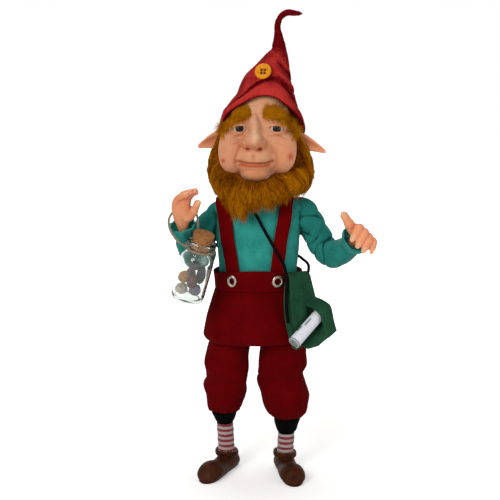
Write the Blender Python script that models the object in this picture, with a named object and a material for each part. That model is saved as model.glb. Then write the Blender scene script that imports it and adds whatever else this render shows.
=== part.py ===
"""Elf figurine: a dressed collector's doll with a felt hat, a corked bottle on twine and a felt satchel.

The body axis is x = 0, y = 0 while modelling, the figure looks along -Y and stands on z = 0. The last step
moves everything so that the middle of the footprint box is the origin.
"""
import math

import bmesh
import bpy
import numpy as np
from mathutils import Matrix, Vector

MM = 0.001
GAP = 0.35 * MM             # room between pieces that touch
SOFT_GAP = 0.7 * MM         # room under hair and cloth, whose faces are coarse

# Levels up the figure
SHOE_HEIGHT = 14.0 * MM
CUFF_LEFT_Z = 46.0 * MM     # lower end of the left trouser leg
CUFF_RIGHT_Z = 41.5 * MM
HEM_Z = 98.0 * MM           # lowest line of the trouser seat
BAND_LOW_Z = 134.1 * MM
BAND_HEIGHT = 14.0 * MM
BAND_SIDE_DIP = 3.2 * MM     # how much lower its top edge is at the hips
SHOULDER_Z = 188.0 * MM
COLLAR_Z = 198.0 * MM
HEAD_Z = 238.0 * MM         # centre of the head
HEAD_HALF_HEIGHT = 33.0 * MM
BRIM_Z = 241.0 * MM         # mean level of the hat's brim, which dips at the back
BRIM_RISE = 22.3 * MM       # how far the brim rises at the forehead
HAT_FOLD_Z = 292.0 * MM     # where the cone turns into the tail

# Thicknesses
FELT = 1.5 * MM
CLOTH = 1.3 * MM
SWEATER_WALL = 1.8 * MM
STRAP_THICKNESS = 1.0 * MM
STRAP_WIDTH = 8.4 * MM
BAND_STANDOFF = 2.2 * MM    # the straps pass between sweater and waistband

# Small pieces
EYE_RADIUS = 5.5 * MM
EYE_DEPTH = 16.0 * MM       # how far an eyeball's centre is in front of the body axis
EYE_OPENING = (4.6 * MM, 2.0 * MM)
LID = 1.3 * MM
BUTTON_RADIUS = 5.4 * MM
BUTTON_THICKNESS = 2.4 * MM
EYELET_RADIUS = 4.1 * MM
EYELET_HOLE = 1.9 * MM
EYELET_BARREL = 2.3 * MM
STUB_RADIUS = 7.5 * MM      # the head's neck stub
SHIN_RADIUS = 4.3 * MM
SOCK_RADIUS = 5.7 * MM
SHOE_LENGTH = 47.0 * MM
TWINE_DIAMETER = 1.4 * MM
CORD_DIAMETER = 2.0 * MM

# Bottle
BOTTLE_RADIUS = 11.0 * MM
BOTTLE_HEIGHT = 40.5 * MM
BOTTLE_WALL = 1.1 * MM
NECK_RADIUS = 7.8 * MM
LIP_RADIUS = 9.6 * MM
MOUTH_RADIUS = 6.6 * MM
CORK_LENGTH = 13.5 * MM
CORK_PROUD = 5.8 * MM
BOTTLE_BASE = Vector((-46.4, -31.0, 133.0)) * MM
BOTTLE_AXIS = Vector((0.262, -0.15, 0.953)).normalized()

# Satchel
BAG_WIDTH = 25.0 * MM
BAG_HEIGHT = 45.5 * MM
BAG_DEPTH = 6.6 * MM
BAG_TOP = Vector((25.2, -16.6, 144.8)) * MM         # middle of its top edge
BAG_TURN = math.radians(45)
BAG_TILTS = (math.radians(-5), math.radians(20))    # it hangs more and more askew from top to foot
BAG_LEAN = math.radians(5.5)                          # its foot swings out over the trousers
ROLL_RADIUS = 4.5 * MM
ROLL_LENGTH = 38.0 * MM
ROLL_SLOPE = math.radians(17)

MATERIALS = {
    "skin": ((0.78, 0.42, 0.27), 0.45, 0.0),
    "hair": ((0.36, 0.17, 0.02), 0.85, 0.0),
    "hat_felt": ((0.40, 0.03, 0.03), 0.95, 0.0),
    "button_yellow": ((0.78, 0.35, 0.01), 0.35, 0.0),
    "glass_eye": ((0.10, 0.13, 0.16), 0.1, 0.0),
    "sweater_teal": ((0.03, 0.30, 0.26), 0.95, 0.0),
    "body_cloth": ((0.62, 0.50, 0.40), 0.95, 0.0),
    "trouser_red": ((0.14, 0.004, 0.006), 0.95, 0.0),
    "eyelet_metal": ((0.55, 0.50, 0.44), 0.35, 1.0),
    "black_cloth": ((0.005, 0.005, 0.005), 0.95, 0.0),
    "sock_stripe": ((0.45, 0.05, 0.06), 0.9, 0.0),
    "shoe_brown": ((0.06, 0.02, 0.008), 0.6, 0.0),
    "bottle_glass": ((0.80, 0.85, 0.84), 0.05, 0.0),
    "cork_bark": ((0.42, 0.19, 0.07), 0.85, 0.0),
    "twine_jute": ((0.32, 0.22, 0.12), 0.9, 0.0),
    "bag_felt": ((0.012, 0.075, 0.035), 0.95, 0.0),
    "cord_black": ((0.008, 0.007, 0.006), 0.8, 0.0),
    "paper": ((0.75, 0.78, 0.84), 0.7, 0.0),
    "pebble_red": ((0.20, 0.07, 0.05), 0.3, 0.0),
    "pebble_grey": ((0.04, 0.04, 0.045), 0.3, 0.0),
    "pebble_pale": ((0.40, 0.32, 0.30), 0.3, 0.0),
}


# Shared tools

def material(slot):
    """The slot's Principled material, made once."""
    found = bpy.data.materials.get(slot)
    if found:
        return found
    colour, roughness, metallic = MATERIALS[slot]
    made = bpy.data.materials.new(slot)
    made.use_nodes = True
    shader = made.node_tree.nodes["Principled BSDF"]
    shader.inputs["Base Color"].default_value = (*colour, 1.0)
    shader.inputs["Roughness"].default_value = roughness
    shader.inputs["Metallic"].default_value = metallic
    made.diffuse_color = (*colour, 1.0)
    return made


def add_object(name, bm, slot=None):
    """Links the bmesh as a named object; one without a slot is a cutter and is hidden."""
    bmesh.ops.recalc_face_normals(bm, faces=bm.faces)
    mesh = bpy.data.meshes.new(name)
    bm.to_mesh(mesh)
    bm.free()
    obj = bpy.data.objects.new(name, mesh)
    bpy.context.scene.collection.objects.link(obj)
    if slot is None:
        obj.hide_render = True
        obj.display_type = "WIRE"
    else:
        mesh.materials.append(material(slot))
        finish_shading(obj)
    return obj


def finish_shading(obj):
    obj.data.shade_smooth()
    obj.data.set_sharp_from_angle(angle=math.radians(45))


def settle(obj):
    """Applies the object's modifiers to its mesh."""
    graph = bpy.context.evaluated_depsgraph_get()
    mesh = bpy.data.meshes.new_from_object(obj.evaluated_get(graph))
    obj.modifiers.clear()
    obj.data = mesh
    finish_shading(obj)
    return obj


def combine(obj, others, operation):
    """Joins the other objects to obj, or cuts them from it, and removes them."""
    for other in others:
        cut = obj.modifiers.new(operation.title(), "BOOLEAN")
        cut.operation = operation
        cut.solver = "EXACT"
        cut.object = other
    settle(obj)
    for other in others:
        bpy.data.objects.remove(other)
    return obj


def melt(obj, parts, size):
    """Remakes an object and the parts it overlaps as one skin on a fine grid, which rounds their seams."""
    bm = bmesh.new()
    for part in (obj, *parts):
        bm.from_mesh(part.data)
    bm.to_mesh(obj.data)
    bm.free()
    for part in parts:
        bpy.data.objects.remove(part)
    skin = obj.modifiers.new("Remesh", "REMESH")
    skin.mode = "VOXEL"
    skin.voxel_size = size
    slot = obj.data.materials[0]
    settle(obj)
    obj.data.materials.clear()
    obj.data.materials.append(slot)
    return obj


def thin_out(obj, faces):
    """Collapses short edges until about that many triangles are left."""
    present = sum(len(p.vertices) - 2 for p in obj.data.polygons)
    thin = obj.modifiers.new("Decimate", "DECIMATE")
    thin.ratio = min(1.0, faces / present)
    return settle(obj)


def smooth_curve(at, knots):
    """A smooth curve through (place, value) knots that never swings past them, level beyond both ends."""
    x, y = np.array(knots, float).T
    h = np.diff(x)
    rise = np.diff(y) / h
    slope = np.zeros(len(x))
    same_way = rise[1:] * rise[:-1] > 0
    mean = 2 * rise[1:] * rise[:-1] / np.where(same_way, rise[1:] + rise[:-1], 1.0)
    slope[1:-1] = np.where(same_way, mean, 0.0)
    at = np.clip(at, x[0], x[-1])
    k = np.clip(np.searchsorted(x, at, side="right") - 1, 0, len(x) - 2)
    t = (at - x[k]) / h[k]
    return (
        (1 + 2 * t) * (1 - t) ** 2 * y[k]
        + t * (1 - t) ** 2 * h[k] * slope[k]
        + t**2 * (3 - 2 * t) * y[k + 1]
        + t**2 * (t - 1) * h[k] * slope[k + 1]
    )


def bump(distance, width):
    """A round hill of height 1 whose flanks are about one width away."""
    return np.exp(-((distance / width) ** 2))


def smooth_path(points, count):
    """Evenly spaced points on a smooth curve through the given ones."""
    points = np.array(points, float)
    along = np.concatenate(([0.0], np.cumsum(np.linalg.norm(np.diff(points, axis=0), axis=1))))
    fine = np.linspace(0.0, along[-1], 40 * len(points))
    slope = np.gradient(points, along, axis=0)
    k = np.clip(np.searchsorted(along, fine, side="right") - 1, 0, len(along) - 2)
    h = (along[k + 1] - along[k])[:, None]
    t = (fine - along[k])[:, None] / h
    route = (
        (1 + 2 * t) * (1 - t) ** 2 * points[k]
        + t * (1 - t) ** 2 * h * slope[k]
        + t**2 * (3 - 2 * t) * points[k + 1]
        + t**2 * (t - 1) * h * slope[k + 1]
    )
    length = np.concatenate(([0.0], np.cumsum(np.linalg.norm(np.diff(route, axis=0), axis=1))))
    even = np.linspace(0.0, length[-1], count)
    return np.stack([np.interp(even, length, route[:, i]) for i in range(3)], axis=1)


def frames_along(path):
    """Two directions across the path at each point, carried along it without twisting."""
    tangent = np.gradient(path, axis=0)
    tangent /= np.linalg.norm(tangent, axis=1)[:, None]
    side = np.cross(tangent[0], (0.0, 1.0, 0.0))
    if np.linalg.norm(side) < 0.2:
        side = np.cross(tangent[0], (1.0, 0.0, 0.0))
    sides = []
    for direction in tangent:
        side = side - direction * (side @ direction)
        side = side / np.linalg.norm(side)
        sides.append(side)
    sides = np.array(sides)
    return sides, np.cross(tangent, sides)


def tube_rings(path, radii, sides, swell=None):
    """Round rings along a path; swell gives each point's share of extra radius from (place, angle)."""
    across, over = frames_along(path)
    angle = np.linspace(0.0, 2 * math.pi, sides, endpoint=False)
    place = np.linspace(0.0, 1.0, len(path))
    radius = np.asarray(radii)[:, None] * np.ones(sides)
    if swell is not None:
        radius = radius * (1 + swell(place[:, None], angle[None, :]))
    return path[:, None] + radius[..., None] * (
        np.cos(angle)[None, :, None] * across[:, None] + np.sin(angle)[None, :, None] * over[:, None]
    )


def loft(name, rings, slot=None, start="pole", end="pole"):
    """Skins the rings; an end is a pole, a flat face, or joined to the other end when closed."""
    bm = bmesh.new()
    rows = [[bm.verts.new(point) for point in ring] for ring in rings]
    pairs = list(zip(rows, rows[1:]))
    if start == "closed":
        pairs.append((rows[-1], rows[0]))
    for low, high in pairs:
        for i in range(len(low)):
            j = (i + 1) % len(low)
            bm.faces.new((low[i], low[j], high[j], high[i]))
    for row, kind in ((rows[0], start), (rows[-1], end)):
        if kind == "flat":
            bm.faces.new(row)
        elif kind == "pole":
            centre = bm.verts.new(sum((v.co for v in row), Vector()) / len(row))
            for i in range(len(row)):
                bm.faces.new((row[i], row[(i + 1) % len(row)], centre))
    return add_object(name, bm, slot)


def turned(name, profile, slot=None, steps=24, closed=False):
    """Turns an (radius, height) outline about Z; the outline closes on itself, or on the axis."""
    angle = np.linspace(0.0, 2 * math.pi, steps, endpoint=False)
    radius, height = np.array(profile, float).T
    rings = np.stack(
        [
            radius[:, None] * np.cos(angle),
            radius[:, None] * np.sin(angle),
            np.repeat(height[:, None], steps, axis=1),
        ],
        axis=-1,
    )
    kind = "closed" if closed else "flat"
    return loft(name, rings, slot, start=kind, end=kind)


def place(obj, matrix):
    obj.data.transform(matrix)
    obj.data.update()
    return obj


def turn_to(direction):
    """The rotation that carries +Z to the direction."""
    return Vector(direction).to_track_quat("Z", "Y").to_matrix().to_4x4()


# Head: base form by height, then features pushed forwards

HEAD_AXIS_Y = -2.0 * MM
EYE_X = (-11.9 * MM, 11.5 * MM)
EYE_Z = HEAD_Z + 4.0 * MM
NOSE_X = -3.0 * MM
FACE_X = -1.9 * MM



def head_level(z):
    """Height in the head as a share of its half height."""
    return np.clip((z - HEAD_Z) / HEAD_HALF_HEIGHT, -1.0, 1.0)


def head_widths(z):
    """(centre x, half width, depth to the front, depth to the back) at a height."""
    level = head_level(z)
    round_off = np.sqrt(np.maximum(1.0 - level**2, 0.0))
    half = smooth_curve(
        level,
        [
            (-1, 24), (-0.88, 28.5), (-0.67, 29.6), (-0.39, 27.6), (0.1, 22.4), (0.28, 20.7),
            (0.5, 20.0), (1, 18.0),
        ],
    )
    front = smooth_curve(
        level,
        [(-1, 27), (-0.85, 28), (-0.6, 26), (-0.35, 23.5), (0, 21.0), (0.25, 19.6), (0.6, 19.6), (1, 17)],
    )
    back = smooth_curve(level, [(-1, 20), (-0.6, 24), (0, 26.5), (0.5, 25.5), (1, 20)])
    centre = smooth_curve(level, [(-1, -1.0), (0.1, 0.0), (0.8, 3.0), (1, 3.4)])
    return centre * MM, half * round_off * MM, front * round_off * MM, back * round_off * MM


# rounded forms: centre (x, y, height over the head's centre), half sizes, softness of the seam
FACE_FORMS = [
    ((-3.0, -22.6, -3.0), (6.6, 14.0, 5.9), 0.9),       # ball of the nose
    ((-2.6, -16.0, 2.8), (5.4, 14.4, 10.0), 1.0),       # bridge
    ((-8.0, -19.6, -5.2), (4.1, 10.8, 3.8), 0.7),       # wings
    ((2.0, -19.6, -5.2), (4.1, 10.8, 3.8), 0.7),
    ((-17.2, -12.0, -12.5), (11.2, 14.6, 14.2), 1.0),   # cheeks
    ((16.6, -12.0, -12.5), (11.2, 14.6, 14.2), 1.0),
    ((-2.0, -14.0, -13.0), (13.6, 15.8, 10.5), 1.0),    # upper lip
    ((-1.9, -14.0, -20.8), (11.6, 13.6, 5.2), 0.9),     # lower lip
    ((-1.9, -13.0, -24.9), (10.4, 14.2, 6.0), 0.9),     # chin
    ((-12.6, -10.0, -1.9), (9.0, 10.6, 3.8), 0.9),      # bags under the eyes
    ((12.2, -10.0, -1.9), (9.0, 10.6, 3.8), 0.9),
    ((-8.8, -8.0, 12.4), (8.6, 10.8, 6.6), 1.2),       # brow ridges
    ((11.2, -8.0, 12.6), (9.8, 11.2, 6.8), 1.2),
]


def forward_of(y, nearer, soft):
    """The nearer of two surfaces, blended where they meet."""
    return -soft * np.logaddexp(-y / soft, -nearer / soft)


def rounded(x, rise, centre, half):
    """Depth of an ellipsoid's front at (x, rise); beyond its rim it falls away quickly."""
    away = ((x - centre[0]) / half[0]) ** 2 + ((rise - centre[2]) / half[2]) ** 2
    return centre[1] + half[1] * (1.5 * np.maximum(away - 1, 0.0) - np.sqrt(np.maximum(1 - away, 0.0)))


def with_features(x, y, z, grow=0.0):
    """Brings the face forward over its rounded forms and lids, then cuts its creases."""
    rise = z - HEAD_Z
    lid = EYE_RADIUS + LID + grow
    for centre, half, soft in FACE_FORMS:
        form = rounded(x, rise, [c * MM for c in centre], [h * MM + grow for h in half])
        y = forward_of(y, form, soft * MM)
    for eye in EYE_X:
        y = forward_of(y, rounded(x, rise, (eye, -EYE_DEPTH, EYE_Z - HEAD_Z), (lid, lid, lid)), 0.4 * MM)
    return y + creases(x / MM, rise / MM) * MM


def creases(x, z):
    """How deep the mouth, nostrils, folds and wrinkles are at (x, rise over the centre), in mm."""
    nose, face = NOSE_X / MM, FACE_X / MM
    mouth = -17.8 + 1.3 * ((x - face) / 11.5) ** 2
    depth = 1.3 * bump(z - mouth, 0.75) * bump(np.maximum(np.abs(x - face) - 9.5, 0), 1.6)
    depth += 0.6 * bump(z - mouth + 4.4, 1.3) * bump(x - face, 7.0)
    depth += 1.4 * bump(np.hypot(np.abs(x - face) - 11.6, z + 17.2), 1.6)
    depth += 0.9 * bump(np.hypot((x - face) / 1.2, (z + 12.4) / 2.2), 1.1)
    fold = smooth_curve(z, [(-27, 9.6), (-21, 12.4), (-16, 13.2), (-10, 11.2), (-4, 8.8), (0, 7.6)])
    depth += 1.2 * bump(np.abs(x - face - 0.4) - fold, 1.3) * bump(z + 13.5, 11.0)
    for side in (-1, 1):
        depth += 2.0 * bump(np.hypot((x - nose - side * 3.5) / 1.5, z + 8.3), 1.2)
    for eye in EYE_X:
        depth += 0.9 * bump(np.hypot((x - eye / MM) / 3.2, z - 9.2), 1.3)
    for level, strength in ((9.0, 0.35), (11.2, 0.4), (13.6, 0.35), (19.0, 0.3), (21.4, 0.25)):
        depth += strength * bump(z - level - 0.05 * x, 0.55) * bump(x - face, 5.0)
    return depth


def head_point(angle, z, grow=0.0):
    """A point on the head at an angle from the front (towards +X) and a height, grown outwards."""
    centre, half, front, back = head_widths(z)
    depth = np.where(np.cos(angle) > 0, front, back)
    x = centre + (half + grow) * np.sin(angle)
    y = HEAD_AXIS_Y - (depth + grow) * np.cos(angle)
    fade = np.clip(np.cos(angle) * 5.0, 0.0, 1.0)
    y = y * (1 - fade) + with_features(x, y, z, grow) * fade
    return np.stack(np.broadcast_arrays(x, y, z), axis=-1)


def face_y(x, z):
    """Where the face's surface is at (x, z)."""
    centre, half, front, _ = head_widths(z)
    sine = np.clip((x - centre) / half, -0.98, 0.98)
    return with_features(x, HEAD_AXIS_Y - front * np.sqrt(1 - sine**2), z)


def head_reach(azimuth, z, grow=0.0):
    """Distance from the head's axis to its surface towards an azimuth, at a height."""
    angle = np.radians(np.arange(-180.0, 180.0, 2.0))
    spots = head_point(angle, np.full(len(angle), z), grow)
    towards = np.arctan2(spots[:, 0], HEAD_AXIS_Y - spots[:, 1])
    reach = np.hypot(spots[:, 0], spots[:, 1] - HEAD_AXIS_Y)
    order = np.argsort(towards)
    near = np.interp(azimuth, towards[order], reach[order], period=2 * math.pi)
    beside = [
        np.interp(azimuth + turn, towards[order], reach[order], period=2 * math.pi) for turn in (-0.05, 0.05)
    ]
    return float(max(near, *beside))


EAR_TIPS = ((-39.5, -1.0, 228.0), (44.3, -1.0, 224.5))
EAR_ROOT_X = 21.0 * MM
EAR_ROOT_RISE = -5.0 * MM


def ear(name, tip, grow=0.0):
    """A leaf-shaped ear from inside the head to its tip, hollowed in front."""
    tip = np.array(tip) * MM
    side = math.copysign(1.0, tip[0])
    root = np.array((side * EAR_ROOT_X, 0.5 * MM, HEAD_Z + EAR_ROOT_RISE))
    middle = root * 0.5 + tip * 0.5 + np.array((0.0, 0.0, 1.2 * MM))
    path = smooth_path([root, middle, tip], 7)
    share = np.linspace(0.0, 1.0, len(path))
    tall = (6.8 * (1 - share) ** 0.8 + 0.9) * MM + grow
    thick = (2.5 * (1 - share) + 0.8) * MM + grow
    angle = np.linspace(0.0, 2 * math.pi, 10, endpoint=False)
    hollow = 0.9 * MM * np.sin(share * math.pi)[:, None] * bump(np.cos(angle), 0.6) * (np.sin(angle) < 0)
    rings = path[:, None] + np.stack(
        [
            np.zeros((len(path), len(angle))),
            thick[:, None] * np.sin(angle) + (hollow if grow == 0 else 0.0),
            tall[:, None] * np.cos(angle),
        ],
        axis=-1,
    )
    return loft(name, rings)


def eye_centre(x):
    return Vector((x, -EYE_DEPTH, EYE_Z))


def almond(x):
    """A cutter that opens the lids in front of an eyeball, lower at its outer corner."""
    half, tall = EYE_OPENING
    turn = np.linspace(0.0, 2 * math.pi, 14, endpoint=False)
    outline_x = half * np.cos(turn)
    outline_z = tall * np.sin(turn) * np.abs(np.sin(turn)) ** 0.3 * np.where(np.sin(turn) > 0, 1.0, 0.85)
    outline_z -= 0.08 * np.sign(x) * outline_x
    centre = eye_centre(x)
    rings = [
        np.stack([centre.x + outline_x, np.full_like(turn, depth), centre.z + outline_z], axis=-1)
        for depth in (centre.y, centre.y - 20 * MM)
    ]
    return loft("lid_opening", rings, start="flat", end="flat")


def ball(name, centre, radius, slot=None, segments=12, rings=8):
    bm = bmesh.new()
    bmesh.ops.create_uvsphere(bm, u_segments=segments, v_segments=rings, radius=radius)
    bmesh.ops.rotate(bm, verts=bm.verts, matrix=Matrix.Rotation(math.radians(90), 3, "X"))
    bmesh.ops.translate(bm, verts=bm.verts, vec=centre)
    return add_object(name, bm, slot)


def rod(name, low, high, radius, slot=None, segments=20):
    """A round bar between two points."""
    low, high = Vector(low), Vector(high)
    bm = bmesh.new()
    bmesh.ops.create_cone(
        bm, cap_ends=True, segments=segments, radius1=radius, radius2=radius, depth=(high - low).length
    )
    bmesh.ops.transform(
        bm, verts=bm.verts, matrix=Matrix.Translation((low + high) / 2) @ turn_to(high - low)
    )
    return add_object(name, bm, slot)


def make_head():
    turn = np.linspace(-math.pi, math.pi, 84, endpoint=False)
    angle = turn - 0.42 * np.sin(turn)
    level = np.sin(np.linspace(-math.pi / 2, math.pi / 2, 68))[1:-1]
    z = HEAD_Z + HEAD_HALF_HEIGHT * level
    head = loft("head", head_point(angle[None, :], z[:, None] * np.ones(len(angle))), "skin")
    thin_out(head, 1900)
    neck = rod("neck", (0, 0, NECK_FOOT_Z), (0, 0, HEAD_Z - 22 * MM), STUB_RADIUS)
    ears = [ear("ear", tip) for tip in EAR_TIPS]
    combine(head, [neck, *ears], "UNION")
    sockets = []
    for x in EYE_X:
        sockets += [almond(x), ball("socket", eye_centre(x), EYE_RADIUS + GAP, segments=14, rings=9)]
    combine(head, sockets, "DIFFERENCE")
    for side, x in zip(("left", "right"), EYE_X):
        ball(f"eye_{side}", eye_centre(x), EYE_RADIUS, "glass_eye", segments=14, rings=9)


def make_brows():
    """Two bushy tufts that follow the forehead and sweep down at their outer ends."""
    spans = {
        "eyebrow_left": [
            (-21.8, 2.6, 3.6), (-19.0, 7.2, 3.6), (-15.6, 11.0, 3.8), (-11.0, 14.4, 4.4),
            (-6.6, 15.6, 4.4), (-3.4, 15.4, 4.4),
        ],
        "eyebrow_right": [
            (1.8, 14.6, 4.8), (6.0, 15.2, 5.0), (11.0, 14.6, 4.6), (16.0, 11.6, 4.2), (19.6, 7.2, 4.0),
            (22.4, 2.2, 3.8),
        ],
    }
    for name, knots in spans.items():
        x = np.linspace(knots[0][0], knots[-1][0], 9)
        taper = (1 - np.abs(np.linspace(-1, 1, 9)) ** 4) * 0.75 + 0.25
        middle = smooth_curve(x, [(k[0], k[1]) for k in knots])
        tall = smooth_curve(x, [(k[0], k[2]) for k in knots]) * taper
        across = np.linspace(-1.0, 1.0, 4)
        grid_x = (x[:, None] * np.ones(4)) * MM
        grid_z = HEAD_Z + (middle[:, None] + tall[:, None] * across) * MM
        slant = np.maximum(np.sqrt(1 - np.clip(grid_x / (22.5 * MM), -0.95, 0.95) ** 2), 0.4)
        back = face_y(grid_x, grid_z) - (SOFT_GAP + 0.4 * MM) / slant
        tuft = (2.2 * (1 - across**2) * taper[:, None] + 0.5) * MM
        front = back - tuft
        rings = np.concatenate(
            [np.stack([grid_x, back, grid_z], -1), np.stack([grid_x, front, grid_z], -1)[:, ::-1]], axis=1
        )
        loft(name, rings, "hair", start="flat", end="flat")


# Hair and beard: sections hung around the head, closed at their ends

def hair_section(angle, top, foot, spread, foot_in, foot_out, count=6):
    """A closed section at one angle: up the head's side, over the top, and down the outer surface."""
    top = min(top, brim_level(angle) - 1.2 * MM)
    jaw = min(HEAD_Z - 26 * MM, top)
    inner_z = np.linspace(top, foot + 3.0 * MM, count)
    reach = np.array([head_reach(angle, max(z, jaw), SOFT_GAP + 0.4 * MM) for z in inner_z])
    below = np.clip((jaw - inner_z) / max(jaw - foot, 1 * MM), 0.0, 1.0)
    inner = reach * (1 - below) + foot_in * below
    outer_z = np.linspace(foot, top, count)
    rise = np.linspace(0.0, 1.0, count)
    swell = np.sin(rise * math.pi) ** 0.8
    top_reach = inner[0] + 1.3 * MM
    outer = foot_out * (1 - rise) + top_reach * rise + spread * swell
    outer = np.maximum(outer, np.interp(outer_z, inner_z[::-1], inner[::-1]) + 1.2 * MM)
    reach = np.concatenate([inner, outer])
    height = np.concatenate([inner_z, outer_z])
    return np.stack(
        [reach * math.sin(angle), HEAD_AXIS_Y - reach * math.cos(angle), height], axis=-1
    )


def brim_level(angle):
    """Height of the hat's lower edge at an angle from the front."""
    return BRIM_Z + BRIM_RISE * np.cos(angle)


def ear_cutters():
    return [ear("ear_room", tip, grow=0.9 * MM) for tip in EAR_TIPS]


def make_beard():
    degrees = np.linspace(-97.0, 97.0, 39)
    top = smooth_curve(
        degrees,
        [
            (-97, 8), (-88, 5), (-80, 3), (-75, -8), (-70, -16), (-60, -21), (-42, -24.5), (-24, -28),
            (0, -29.6), (22, -28), (42, -24.5), (60, -21), (70, -16), (75, -8), (80, 3), (88, 5),
            (97, 8),
        ],
    )
    foot = smooth_curve(
        degrees,
        [
            (-97, -39), (-80, -41), (-60, -45), (-44, -49), (-24, -56), (-8, -50), (9, -50.5), (20, -48),
            (34, -43), (50, -42), (72, -40), (97, -36),
        ],
    )
    sections = []
    for i, angle in enumerate(degrees):
        lock = 1.5 * (-1) ** (i // 2)
        side = min(1.0, abs(angle) / 70.0)
        section = hair_section(
            math.radians(angle),
            HEAD_Z + top[i] * MM,
            HEAD_Z + (foot[i] + lock * 0.8) * MM,
            spread=(5.4 + 0.8 * side + 0.4 * lock) * MM,
            foot_in=(25.0 + 1.5 * side) * MM,
            foot_out=(29.0 + 3.0 * side + 0.3 * lock) * MM,
        )
        sections.append(section)
    beard = loft("beard", sections, "hair", start="flat", end="flat")
    combine(beard, ear_cutters(), "DIFFERENCE")


def make_hair():
    degrees = np.linspace(100.5, 259.5, 27)
    sections = []
    for i, angle in enumerate(degrees):
        lock = 1.2 * (-1) ** (i // 2)
        back = bump(angle - 180.0, 60.0)
        sections.append(
            hair_section(
                math.radians(angle),
                HEAD_Z + 8.0 * MM,
                HEAD_Z + (-37.5 + 0.8 * lock) * MM,
                spread=(4.6 - 2.2 * back + 0.4 * lock) * MM,
                foot_in=(26.0 - 4.0 * back) * MM,
                foot_out=(31.0 - 3.0 * back) * MM,
            )
        )
    hair = loft("hair", sections, "hair", start="flat", end="flat")
    combine(hair, ear_cutters(), "DIFFERENCE")


# Hat: one felt piece, from the dome inside, down to the brim, up the cone and along the tail

HAT_SIZES = [  # (height over the head's centre, centre x, half width, depth to the front, depth to the back)
    (-24, 2.6, 29.5, 33.0, 29.5),
    (-10, 2.8, 30.2, 31.0, 30.5),
    (0, 2.4, 29.6, 28.0, 30.0),
    (7, 2.4, 26.9, 25.8, 29.2),
    (13, 2.2, 24.5, 23.2, 27.6),
    (20, 3.0, 20.8, 20.0, 24.0),
    (25, 4.6, 18.4, 17.4, 20.5),
    (31, 5.4, 16.6, 14.2, 16.5),
    (37, 7.0, 14.3, 11.6, 12.8),
    (43, 9.2, 11.0, 9.0, 9.4),
    (49, 11.6, 7.6, 6.6, 6.6),
    (54, 13.4, 4.6, 4.4, 4.4),
]
TAIL = [
    (13.4, 0, 292), (13.0, 0.5, 299.5), (12.5, 0.5, 306.5), (14.4, 0, 311.6), (18.6, -0.5, 314.4),
    (23.4, -0.5, 314.1), (28.4, -0.5, 313.7),
]
TAIL_RADII = [(0, 4.2), (0.15, 3.2), (0.4, 2.3), (0.62, 1.9), (0.8, 1.8), (0.93, 1.5), (1, 0.7)]


def hat_point(angle, z, inset=0.0):
    """A point on the cone at an angle from the front and a height."""
    rise = (z - HEAD_Z) / MM
    centre, half, front, back = (
        smooth_curve(rise, [(row[0], row[k]) for row in HAT_SIZES]) * MM for k in (1, 2, 3, 4)
    )
    depth = np.where(np.cos(angle) > 0, front, back)
    x = centre + (half - inset) * np.sin(angle)
    y = HEAD_AXIS_Y * np.clip(1.6 - rise / 35.0, 0, 1) - (depth - inset) * np.cos(angle)
    return np.stack(np.broadcast_arrays(x, y, z), axis=-1)


def hat_fold(angle, z, brim):
    """Extra radius: the rolled brim, the crease above it, and the twisted folds near the top."""
    over = (z - brim) / MM
    rise = (z - HEAD_Z) / MM
    roll = 1.7 * bump(over - 4.0, 4.0) - 1.0 * bump(over - 9.5, 1.8)
    twist = 0.9 * np.cos(angle + 1.2 - rise * 0.16) ** 3 * bump(rise - 40.0, 12.0)
    sag = 0.8 * bump(rise - 31.0 + 6.0 * np.cos(angle - 0.7), 2.4)
    return (roll + twist + sag) * MM


def make_hat():
    angle = np.linspace(-math.pi, math.pi, 40, endpoint=False)
    brim = brim_level(angle)
    dome = HEAD_Z + HEAD_HALF_HEIGHT + 10 * MM
    rings = []
    for share in np.linspace(0.985, 0.0, 8):
        z = brim + (dome - brim) * share
        close = math.sqrt(max(0.0, 1 - max(0.0, (share - 0.75) / 0.25) ** 2))
        centre = hat_point(angle, z, inset=FELT).mean(axis=0)
        ring = hat_point(angle, z, inset=FELT)
        ring[:, :2] = centre[:2] + (ring[:, :2] - centre[:2]) * close
        rings.append(ring)
    for share in (0.0, 0.03, 0.07, 0.12, 0.17, 0.22, 0.28, 0.36, 0.45, 0.54, 0.63, 0.72, 0.81, 0.9, 1.0):
        z = brim + (HAT_FOLD_Z - brim) * share
        ring = hat_point(angle, z, inset=-hat_fold(angle, z, brim) + (0.5 * MM if share == 0 else 0.0))
        rings.append(ring)
    tail = smooth_path(np.array(TAIL) * MM, 13)[1:]
    share = np.linspace(0.0, 1.0, 13)[1:]
    radii = smooth_curve(share, TAIL_RADII) * MM
    start = -math.pi / 2
    turned_rings = tube_rings(tail, radii, 40, swell=lambda s, a: 0.12 * np.cos(2 * a + 9 * s))
    rings.extend(align_ring(ring, rings[-1]) for ring in turned_rings)
    hat = loft("hat", rings, "hat_felt")
    thin_out(hat, 1250)
    return hat


def align_ring(ring, previous):
    """Starts and turns a ring of points so that it lies best over the ring before it."""
    centre, before = ring.mean(axis=0), previous.mean(axis=0)
    best = None
    for order in (ring, ring[::-1]):
        for shift in range(len(ring)):
            turned_ring = np.roll(order, shift, axis=0)
            miss = ((turned_ring - centre - (previous - before)) ** 2).sum()
            if best is None or miss < best[0]:
                best = (miss, turned_ring)
    return best[1]


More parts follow.
